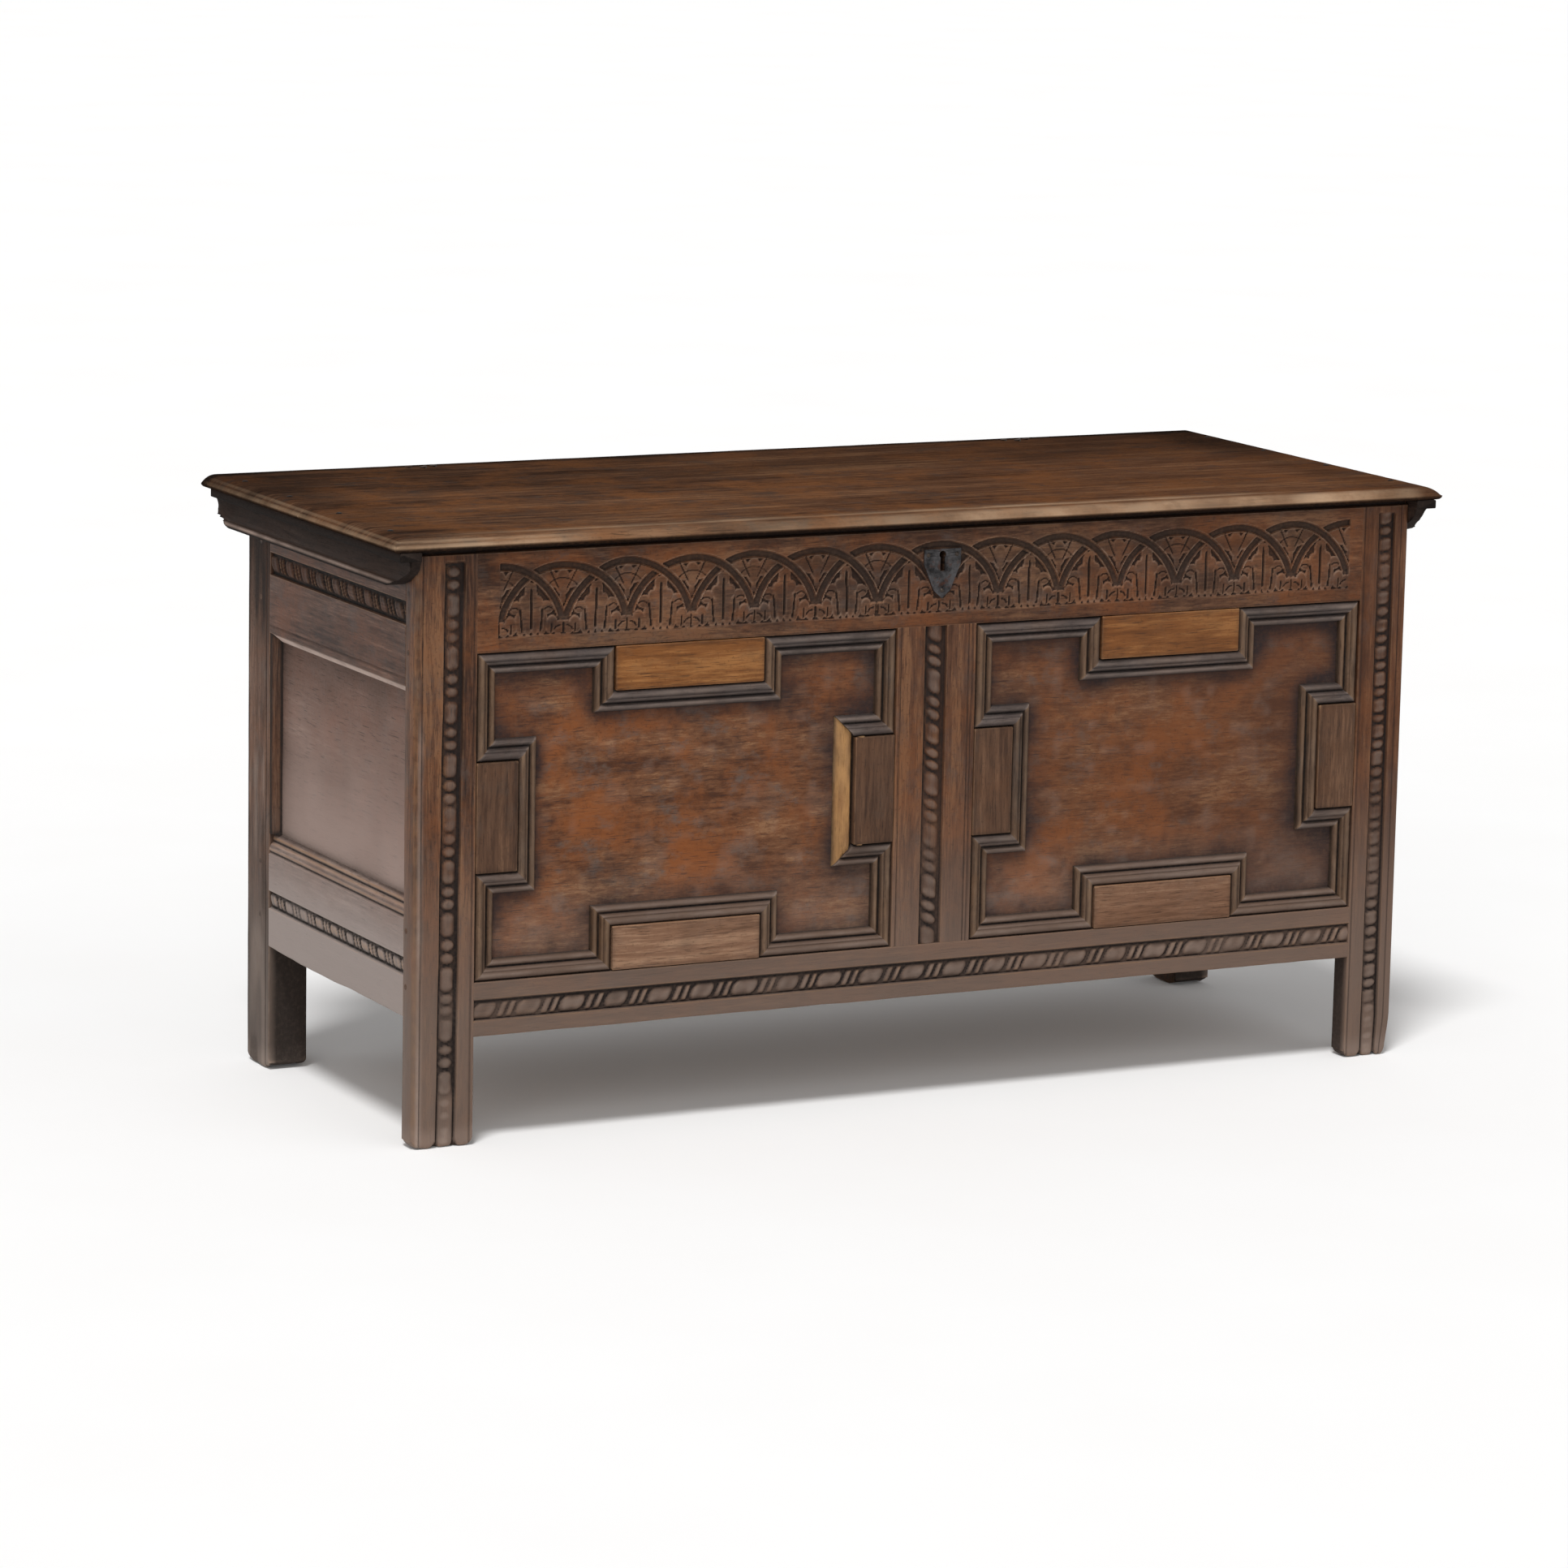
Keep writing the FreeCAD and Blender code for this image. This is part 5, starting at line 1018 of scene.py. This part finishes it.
def side_top_face(l, w):
    """The strip of a side top rail, and the chamfer that ends it over the panel, with a painted highlight
    along it.
    """
    depth, dark, _ = side_strip(l, w, TOP_STRIP, TOP_STRIP_WIDTH, 91, 0.32)
    chamfer = np.clip(SIDE_CHAMFER - (w - side_top[0][2] + SIDE_LAP), 0, SIDE_CHAMFER)
    line, line_dark = scratch(w - side_top[0][2] - 8, 0.8, 0.6)
    # A painted highlight along the chamfer.
    light = 0.8 * smooth(chamfer, 0.3, 2.5) * smooth(REAR_FRONT - 4 - l, 0, 4)
    return depth - chamfer + line, np.maximum(dark, line_dark), light


def side_bottom_face(l, w):
    """The strip of a side bottom rail, and the moulding run along its upper edge, with painted shade in its
    grooves and painted highlights on its lips.
    """
    depth, dark, light = side_strip(l, w, BOTTOM_STRIP, BOTTOM_STRIP_WIDTH, 93, 0.15)
    place = w - SIDE_MOULDING
    # Painted shade in the run's grooves.
    for middle, wide, tone in ((1.4, 1.2, 0.9), (7.6, 0.9, 0.5), (13.2, 1.3, 0.95), (20.5, 1.6, 0.7)):
        dark = unit(dark + tone * bell(place - middle, wide))
    # Painted highlights on its lips.
    for middle, wide, tone in ((4.6, 1.0, 0.45), (10.4, 0.9, 0.35), (16.4, 1.2, 0.5)):
        light = light + tone * bell(place - middle, wide)
    return depth - np.interp(place, *zip(*SIDE_STEPS)), dark, light


def side_panel_face(l, w):
    """A side panel: painted shade at its edges and towards the rear post, and darker under the top rail."""
    edge = np.minimum(np.minimum(l - STILE_BACK, REAR_FRONT - 12 - l), w - side_bottom[1][2])
    # Painted shade along the panel's edges and towards the rear post.
    dark = 0.5 * np.exp(-(np.clip(edge, 0, None) / 5) ** 1.3) + 0.4 * smooth(l, 85, 150)
    upper = 0.3 * smooth(w - (side_top[0][2] - 90), 0, 80) + 0.1 * waves(l, w, 45, 194)
    return 0.35 * waves(l, w / 3, 26, 197), np.clip(dark + upper + 0.06, 0, 0.9), 0 * l


def rear_post_face(l, w):
    """The outer face of a rear stile: dark streaks above, rubbed below, and a scratched line."""
    depth, dark = scratch(w - REAR_FRONT - 9, 0.8, 0.6)
    streaks = waves(l / 6, w, 11, 189)
    dark = dark + 0.6 * smooth(w - REAR + 7, 0, 5)
    upper = 0.12 + 0.5 * smooth(l, 440, 540) + 0.4 * smooth(streaks, 0.0, 0.7)
    worn = 0.28 * smooth(-streaks, 0.2, 0.9) * smooth(460 - l, 0, 60)
    return depth, np.clip(dark + upper, 0, 0.9), worn


def make_side(side):
    """The rails, panel and rear post of one end of the chest."""
    out = "x" if side == "right" else "-x"
    turn = 1 if side == "right" else -1
    axes, depth = ("y", "z", out), (SIDE_BACK, SIDE)
    low, sill, head = side_bottom[0][2], side_bottom[1][2], side_top[0][2]
    length = lapped(STILE_BACK, REAR_FRONT, LAP)
    top = board(length, (head - SIDE_LAP, RIM), depth, axes, (1.8, 1.4), (0.4, 1, 0.4), relief=side_top_face,
                shade=(0, 0.3), seed=191)
    piece(side + "_side_upper_rail", [top], side + "_side_top_rail",
          [side_top_oak, inside_oak["y"]])
    bottom = board(length, (low, sill), depth, axes, (1.8, 1.2), (2, 0.5, 1), relief=side_bottom_face,
                   shade=(0, 0.5), seed=193, warp=worn_edge(low, 25, ((3.0, 150, 195), (1.0, 40, 196))))
    piece(side + "_side_lower_rail", [bottom], side + "_side_bottom_rail",
          [side_oak["y"], inside_oak["y"]])
    panel = panel_board(lapped(STILE_BACK, REAR_FRONT, TONGUE), lapped(sill, head, TONGUE),
                        SIDE_PANEL_FACE, axes, 4, side_panel_face, 198)
    piece(side + "_side_panel_field", [panel], side + "_side_panel",
          [side_panel_oak, inside_oak["y"]])

    foot = foot_wear([((REAR_FRONT + REAR) / 2, (REAR - REAR_FRONT) / 2)])
    post = board((0, RIM), (REAR_FRONT, REAR), (POST_INNER, SIDE), ("z", "y", out), (4, 1.6), (1.2, 3, 2),
                 (4, 0.5), rear_post_face, (0.85, 0), seed=199, warp=foot)
    inner = SIDE_PANEL_FACE - SIDE
    chamfer = np.array([(-0.6, 1), (-0.6, -7.2), (-1.1, -8), (-2.4, -10), (-5.6, -13.2), (inner + 0.3, -16),
                        (inner - 2, -16), (inner - 2, 1)])
    heights = np.linspace(sill, head, 40)
    rings = np.zeros((len(heights), len(chamfer), 3))
    rings[..., 0] = turn * (SIDE + chamfer[:, 0])
    rings[..., 1] = REAR_FRONT + chamfer[:, 1]
    rings[..., 2] = heights[:, None]
    # The swell's chamfer, with painted shade deepening towards the panel.
    swell = tube(rings, turn < 0, np.array([0.1, 0.1, 0.15, 0.2, 0.35, 0.6, 0.6, 0.2]))
    piece(side + "_rear_post", [post, swell], "rear_%s_stile" % side, [side_oak["z"], shade_oak])


# Back
def make_back():
    """The plain back, rough from the saw."""
    depth, axes, rough = (BACK_FRONT, REAR), ("x", "z", "y"), 0.5
    sill, head = back_bottom[1][2], back_top[0][2]
    length = lapped(-POST_INNER, POST_INNER, LAP)
    members = [("upper", "top_rail", "x", length, (head, RIM), axes, (1.2, 1, 1), (0.7, 0.3), 201),
               ("lower", "bottom_rail", "x", length, (back_bottom[0][2], sill), axes, (1.5, 1.2, 1),
                (0, 0.7), 203),
               ("middle", "muntin", "z", lapped(sill, head, LAP), (back_muntin[0][0], back_muntin[1][0]),
                ("z", "x", "y"), (1.2, 1.2, 1), (0.7, 0.7), 205)]
    for name, node, grain, length, width, axes_here, radii, shade, seed in members:
        part = board(length, width, depth, axes_here, (6, 5), radii, shade=shade, wobble=rough, seed=seed)
        piece("back_%s_member" % name, [part], "back_" + node,
              [back_oak[grain], inside_oak[grain]])
    edges = {"left": (-POST_INNER, back_muntin[0][0]), "right": (back_muntin[1][0], POST_INNER)}
    for seed, (side, edge) in enumerate(edges.items(), 207):
        part = panel_board(lapped(*edge, TONGUE), lapped(sill, head, TONGUE), REAR - (PANEL_FACE - FRONT),
                           axes, 6, sawn_face(seed), seed, rough)
        piece("back_%s_panel_field" % side, [part], "back_%s_panel" % side,
              [back_oak["x"], inside_oak["x"]])


def sawn_face(seed):
    """A face with the waves that a saw leaves."""
    def relief(l, w):
        return 0.6 * waves(l, w / 5, 40, seed), 0 * l, 0 * l
    return relief


# Lid
NOSE_WIDTH, NOSE_DROP = 17.0, 9.0
LID_TOP, LID_LOW = front_board[1][2], front_board[0][2]
LID_HALF = front_board[1][0]
LID_FRONT, LID_REAR = front_board[0][1], rear_board[1][1]
UNDER_ROUND = LID_TOP - LID_LOW - NOSE_DROP
NOSE_RADIUS = (NOSE_WIDTH ** 2 + NOSE_DROP ** 2) / (2 * NOSE_DROP)
SCRATCH_BACK = 31.0
SCRATCH_LINE = LID_FRONT + SCRATCH_BACK + 1.1
CORNER_ROUND = 2.2


def grid_lines(low, high, coarse, fine, margins, extra=()):
    """Places of grid lines, close together near the ends and near the extra places."""
    near = [np.arange(low, low + margins[0], fine), np.arange(high, high - margins[1], -fine)]
    inner = np.linspace(low + margins[0], high - margins[1], int((high - low - sum(margins)) / coarse) + 1)
    for place in extra:
        inner = inner[np.abs(inner - place) > 3.2]
        near.append(place + np.array([-3, -1.9, -1.1, -0.5, 0, 0.5, 1.1, 1.9, 3]))
    return np.unique(np.round(np.concatenate(near + [inner]), 3))


def grid_quads(index):
    """Quads over a grid of point numbers, facing up."""
    return np.stack([index[:-1, :-1], index[1:, :-1], index[1:, 1:], index[:-1, 1:]], -1).reshape(-1, 4)


def grid_rim(index):
    """The point numbers round a grid."""
    return np.concatenate([index[:, 0], index[-1, 1:], index[-2::-1, -1], index[0, -2:0:-1]])


def wall(upper, lower):
    """Quads between two loops of point numbers."""
    return np.stack([upper, lower, np.roll(lower, -1), np.roll(upper, -1)], -1)


def lid_tones(x, y, inward, seed):
    """Dark and light of a plank's top: a pale band behind the front, dark at the back, and painted highlights
    along the left nose.
    """
    dark = 0.3 * smooth(np.abs(x), 520, 590) + (0.38 + 0.15 * smooth(x, 150, 500)) * smooth(y, -20, 150)
    stains = smooth(waves(x / 2, y, 55, seed + 5), 0.1, 0.9)
    dark += 0.5 * smooth(y, LID_REAR - 26, LID_REAR - 8) + 0.14 * stains
    from_front = y - LID_FRONT
    tip = (0.12 + 0.5 * smooth(x, -350, 350)) * smooth(16 - from_front, 0, 9) * smooth(620 - x, 0, 30)
    pale_band = 0.42 * bell(from_front - 26, 8) * smooth(520 - x, 0, 250) * smooth(x, -620, -450)
    # Painted highlights along the left nose.
    shine = 0.85 * bell(inward - 0.8, 1.0) + 0.5 * bell(inward - 6, 1.1)
    shine = shine * smooth(-x, 380, 520) * (0.8 + 0.4 * waves(x, y, 27, seed + 7))
    return dark, (tip + pale_band) * (0.8 + 0.5 * waves(x / 3, y, 16, seed + 6)) + shine


def lid_plank(y_span, is_front, seed):
    """One plank of the lid: nosed at its ends, and on the front if it is the front one."""
    xs = grid_lines(-LID_HALF, LID_HALF, 4.6, 1.7, (19, 19))
    ys = grid_lines(*y_span, 4.2, 1.7, (19 if is_front else 2.5, 2.5), [SCRATCH_LINE] if is_front else [])
    x, y = np.meshgrid(xs, ys, indexing="ij")
    inward = LID_HALF - np.abs(x)
    if is_front:
        from_front = y - y_span[0]
        blend = np.exp(-inward / CORNER_ROUND) + np.exp(-from_front / CORNER_ROUND)
        inward = -np.log(blend) * CORNER_ROUND
        inward = np.clip(inward, 0, None)
    nose_in = np.clip(NOSE_WIDTH - inward, 0, NOSE_WIDTH)
    height = LID_TOP - (NOSE_RADIUS - np.sqrt(NOSE_RADIUS ** 2 - nose_in ** 2))
    joint = y_span[1] - y if is_front else y - y_span[0]
    rear = 1e9 if is_front else y_span[1] - y
    height -= 0.9 * unit(1 - joint / 1.6) ** 2 + 0.9 * unit(1 - rear / 1.6) ** 2
    worn = 0.28 * np.abs(waves(x, y, 150, seed)) + 0.18 * np.abs(waves(x, y * 3, 60, seed + 1))
    worn += 0.25 * unit(waves(x, y, 19, seed + 2) - 0.45)
    height -= worn * (0.3 + 0.7 * (1 - nose_in / NOSE_WIDTH))
    dark, light = lid_tones(x, y, inward, seed)
    if is_front:
        cut = groove(y - SCRATCH_LINE, 1.2, 0.9) * smooth(LID_HALF - SCRATCH_BACK - np.abs(x), 0, 1)
        height += cut
        dark = np.maximum(dark, unit(-cut) * 0.8)

    depth = y_span[1] - y_span[0]

    def drawn_in(spots, inset):
        """Spots of the plan drawn in under the nose."""
        moved = spots.copy()
        moved[:, 0] = spots[:, 0] * (LID_HALF - inset) / LID_HALF
        if is_front:
            moved[:, 1] = y_span[1] - (y_span[1] - spots[:, 1]) * (depth - inset) / depth
        return moved

    count = x.size
    index = np.arange(count).reshape(x.shape)
    loop = grid_rim(index)
    top = np.stack([x, y, height], -1).reshape(-1, 3)
    rim = top[loop]
    points, quads = [top], [grid_quads(index)]
    for angle in np.radians([30, 60]):
        ring = drawn_in(rim, UNDER_ROUND * (1 - math.cos(angle)))
        ring[:, 2] = LID_LOW + UNDER_ROUND - UNDER_ROUND * math.sin(angle)
        lower = count + np.arange(len(rim))
        points.append(ring)
        quads.append(wall(loop, lower))
        loop, count = lower, count + len(rim)
    under = drawn_in(top, UNDER_ROUND)
    under[:, 2] = LID_LOW + 0.25 * np.abs(waves(under[:, 0], under[:, 1], 70, seed + 3))
    base = index + count
    under_quads = grid_quads(base)[:, [0, 3, 2, 1]]
    points, quads = np.concatenate(points + [under]), quads + [wall(loop, grid_rim(base)), under_quads]
    # Painted shade on the rounded under edge, and under the plank near its edges.
    under_edge_shade = np.full(2 * len(rim), 0.95)
    underside_shade = 0.9 - 0.75 * smooth(inward, 8, 26)
    light = np.concatenate([unit(light).reshape(-1), np.zeros(len(points) - x.size)])
    slots = np.repeat([0, 1], [sum(map(len, quads)) - len(under_quads), len(under_quads)])
    return {"points": points, "quads": np.concatenate(quads), "caps": [], "light": light, "slots": slots,
            "dark": np.concatenate([dark.reshape(-1), under_edge_shade, underside_shade.reshape(-1)])}


def make_lid():
    """The two planks of the lid."""
    planks = {"front": lid_plank((LID_FRONT, front_board[1][1]), True, 221),
              "rear": lid_plank((rear_board[0][1], LID_REAR), False, 231)}
    for name, part in planks.items():
        piece("lid_%s_plank" % name, [part], "lid_%s_board" % name, [lid_oak, inside_oak["x"]],
              body="lid")


def make_cleat(side):
    """A moulded batten under one end of the lid, raked at both ends."""
    (inner, front, low), (outer, rear, top) = cleat_box
    turn = 1 if side == "right" else -1
    step, fillet_low = outer - 11, top - 9.5
    cove = [(step - 4 * math.sin(math.pi * s) + 2 * s, fillet_low + (low + 8 - fillet_low) * s)
            for s in np.linspace(0, 1, 12)]
    lip = [(step + 2 + 4 * math.cos(a), low + 4 + 4 * math.sin(a))
           for a in np.linspace(math.pi / 2, -math.pi / 2, 9)]
    bottom = [(x, low) for x in np.linspace(step, inner + 1, 4)]
    upper = [(inner, low + 1)] + [(inner, z) for z in np.linspace(low + 8, top - 1, 5)]
    upper += [(inner + 1, top), (outer - 1, top), (outer, top - 1), (outer, fillet_low + 0.8),
              (outer - 0.8, fillet_low), (step + 0.5, fillet_low)]
    outline = np.array(upper + cove[1:-1] + lip + bottom)
    cove_start, lip_start = len(upper), len(upper) + len(cove) - 2
    dark, light = np.zeros(len(outline)), np.zeros(len(outline))
    # Painted shade below the fillet, down the cove and under the lip, and painted highlights on the fillet's
    # top and on the lip.
    dark[cove_start - 3:cove_start] = (0.3, 0.9, 0.9)
    dark[cove_start:lip_start] = np.linspace(0.7, 0.15, len(cove) - 2)
    dark[lip_start + 5:] = 0.75
    light[cove_start - 5] = 0.3
    light[lip_start + 2:lip_start + 5] = (0.35, 0.8, 0.35)

    y = np.linspace(front, rear, int((rear - front) / 3))
    y = np.unique(np.concatenate([y, front + np.linspace(0, 60, 40), rear - np.linspace(0, 60, 40)]))[:, None]
    front_rake = np.interp(y - front, [0, 2, 5, 11, 20, 31, 44, 56],
                           [fillet_low, fillet_low, fillet_low - 8.5, fillet_low - 14, fillet_low - 18.7,
                            low + 6.5, low + 2.5, low])
    rear_rake = np.interp(rear - y, [0, 3, 12, 22, 36], [low + 15, low + 12, low + 9.5, low + 6, low])
    rake = np.maximum(front_rake, rear_rake)
    x, z = (np.broadcast_to(column, (len(y), len(outline))) for column in outline.T)
    is_hollow = (x < step + 1) & (x > inner + 3) & (z > low + 1) & (z < fillet_low)
    x = x + 5 * smooth(40 - (rear - y), 0, 40) * is_hollow
    behind = cove[::-1][1:]
    profile_z = [low, low + 4, low + 8] + [spot[1] for spot in behind]
    profile_x = [step + 2, step + 6, step + 2] + [spot[0] for spot in behind]
    below = z < rake
    x = np.where(below, np.minimum(x, np.interp(rake, profile_z, profile_x)), x)
    z = np.maximum(z, rake)
    x = x - 0.25 * np.abs(waves(y, z, 40, 241))
    rings = np.stack([turn * x, np.broadcast_to(y, x.shape), z], -1)
    # Painted shade on the raked front end.
    lifted = below & (front_rake > low + 0.5)
    light = light * (0.7 + 0.35 * waves(y, z, 26, 243)) * ~lifted
    part = tube(rings, turn > 0, np.where(lifted, 0.75, dark), unit(light))
    piece(side + "_lid_batten", [part], side + "_lid_cleat", [cleat_oak], body="lid")


# CAD nodes that keep their own shape
def finish_nodes(names, material, bevel):
    """A node material and softly broken edges for CAD nodes."""
    for name in names:
        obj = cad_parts[name]
        for slot in obj.material_slots:
            slot.material = material
        if not obj.material_slots:
            obj.data.materials.append(material)
        if bevel:
            weld = obj.modifiers.new("weld", "WELD")
            weld.merge_threshold = 0.02 * MM
            soft = obj.modifiers.new("soft_edges", "BEVEL")
            soft.width, soft.segments, soft.limit_method = bevel * MM, 2, "ANGLE"
            soft.angle_limit = math.radians(40)


def finish_kept_nodes():
    """Ironwork, pegs and floor boards."""
    leaves = ["%s_hinge_%s" % (side, leaf) for side in ("left", "right")
              for leaf in ("frame_leaf", "lid_leaf", "pin")]
    finish_nodes(["escutcheon"], black_iron, 0.5)
    finish_nodes(["lock_case", "lock_spring", "lock_bolt", "lid_staple"], old_iron, 0.3)
    finish_nodes(leaves, old_iron, 0.4)
    finish_nodes(["hinge_frame_nails", "floor_nails", "lock_nails", "lid_iron_nails"], old_iron, 0.25)
    finish_nodes(["cleat_nails"], sunk_iron, 0.25)
    finish_nodes(["front_frame_pegs", "side_frame_pegs", "back_frame_pegs"], peg_oak, 0.3)
    finish_nodes(["floor_board_%d" % i for i in range(1, 5)], inside_oak["y"], 0)


# Studio
FLOOR_HALF, FLOOR_GLOW = 40.0, 0.03
# How bright the world lights the chest, and how bright it is seen
WORLD_LIGHT, WORLD_SEEN = 0.38, 1.0


def make_floor():
    """A pale floor that shows white where it is lit and keeps the chest's shadow."""
    mesh = bpy.data.meshes.new("studio_floor")
    half = FLOOR_HALF
    corners = [(-half, -half, 0), (half, -half, 0), (half, half, 0), (-half, half, 0)]
    mesh.from_pydata(corners, [], [(0, 1, 2, 3)])
    floor = bpy.data.objects.new("studio_floor", mesh)
    bpy.context.scene.collection.objects.link(floor)
    material, tree, shader = new_tree("studio_white")
    cloud = tree.noise(tree.place(), 3.0)
    tree.feed(shader, {"Base Color": tree.blend(cloud, rgb((240, 239, 238)), rgb((243, 243, 243))),
                       "Roughness": 0.9, "Specular IOR Level": 0.0, "Emission Color": (1, 1, 1, 1),
                       "Emission Strength": tree.times(tree.seen(), FLOOR_GLOW)})
    mesh.materials.append(material)


def sun(name, aim, strength, softness):
    """A soft lamp far away that shines along aim."""
    lamp = bpy.data.lights.new(name, "SUN")
    lamp.energy = strength
    lamp.angle = math.radians(softness)
    obj = bpy.data.objects.new(name, lamp)
    obj.rotation_mode = "QUATERNION"
    obj.rotation_quaternion = Vector(aim).to_track_quat("-Z", "Y")
    bpy.context.scene.collection.objects.link(obj)


def make_light():
    """An even pale world, a soft key from above the front and weaker lamps from both sides."""
    world = bpy.data.worlds.new("studio")
    bpy.context.scene.world = world
    world.use_nodes = True
    tree = Tree(world.node_tree)
    tree.feed(world.node_tree.nodes["Background"],
              {"Color": (1, 1, 1, 1), "Strength": tree.fit(tree.seen(), 0, 1, WORLD_LIGHT, WORLD_SEEN)})
    sun("top_light", (0.30, 0.34, -0.89), 2.2, 14)
    sun("left_light", (0.55, 0.75, -0.36), 0.6, 40)
    sun("right_light", (-0.45, 0.80, -0.40), 0.25, 50)


# The photograph's camera: its side and focal length in pixels, and its place from the near lower corner
# of the front, in widths of the frame
IMAGE_SIDE, FOCAL = 1932, 7492.5
YAW, PITCH_DOWN, ROLL = math.radians(26.975), math.radians(10.46), math.radians(1.119)
STANDPOINT = (-2.0481, -4.7239, 1.2796)


def make_camera():
    """The photograph's view: a long lens from the left front, a little above the lid."""
    width = (right_stile[1][0] - left_stile[0][0]) * MM
    corner = Vector((left_stile[0][0], left_stile[0][1], 0)) * MM
    aim = Vector((math.sin(YAW) * math.cos(PITCH_DOWN), math.cos(YAW) * math.cos(PITCH_DOWN),
                  -math.sin(PITCH_DOWN)))
    level = Vector((math.cos(YAW), -math.sin(YAW), 0))
    upright = level.cross(aim)
    right = math.cos(ROLL) * level + math.sin(ROLL) * upright
    up = -math.sin(ROLL) * level + math.cos(ROLL) * upright
    camera = bpy.data.cameras.new("camera")
    camera.sensor_width = 36
    camera.lens = FOCAL / IMAGE_SIDE * camera.sensor_width
    camera.clip_end = 200
    obj = bpy.data.objects.new("camera", camera)
    turn = Matrix((right, up, -aim)).transposed().to_4x4()
    obj.matrix_world = Matrix.Translation(corner + Vector(STANDPOINT) * width) @ turn
    bpy.context.scene.collection.objects.link(obj)
    bpy.context.scene.camera = obj


make_camera()
make_light()
make_floor()
make_front_stile("left")
make_front_stile("right")
make_front_rails()
make_muntin()
for side in ("left", "right"):
    make_front_panel(side)
    make_mouldings(side, WORN_RUN if side == "left" else None)
    for seed, place in enumerate(("top", "bottom", "left", "right"), 170 if side == "left" else 180):
        make_block(side, place, seed)
    make_side(side)
    make_cleat(side)
make_back()
make_lid()
finish_kept_nodes()
bpy.context.scene.view_settings.view_transform = "Standard"
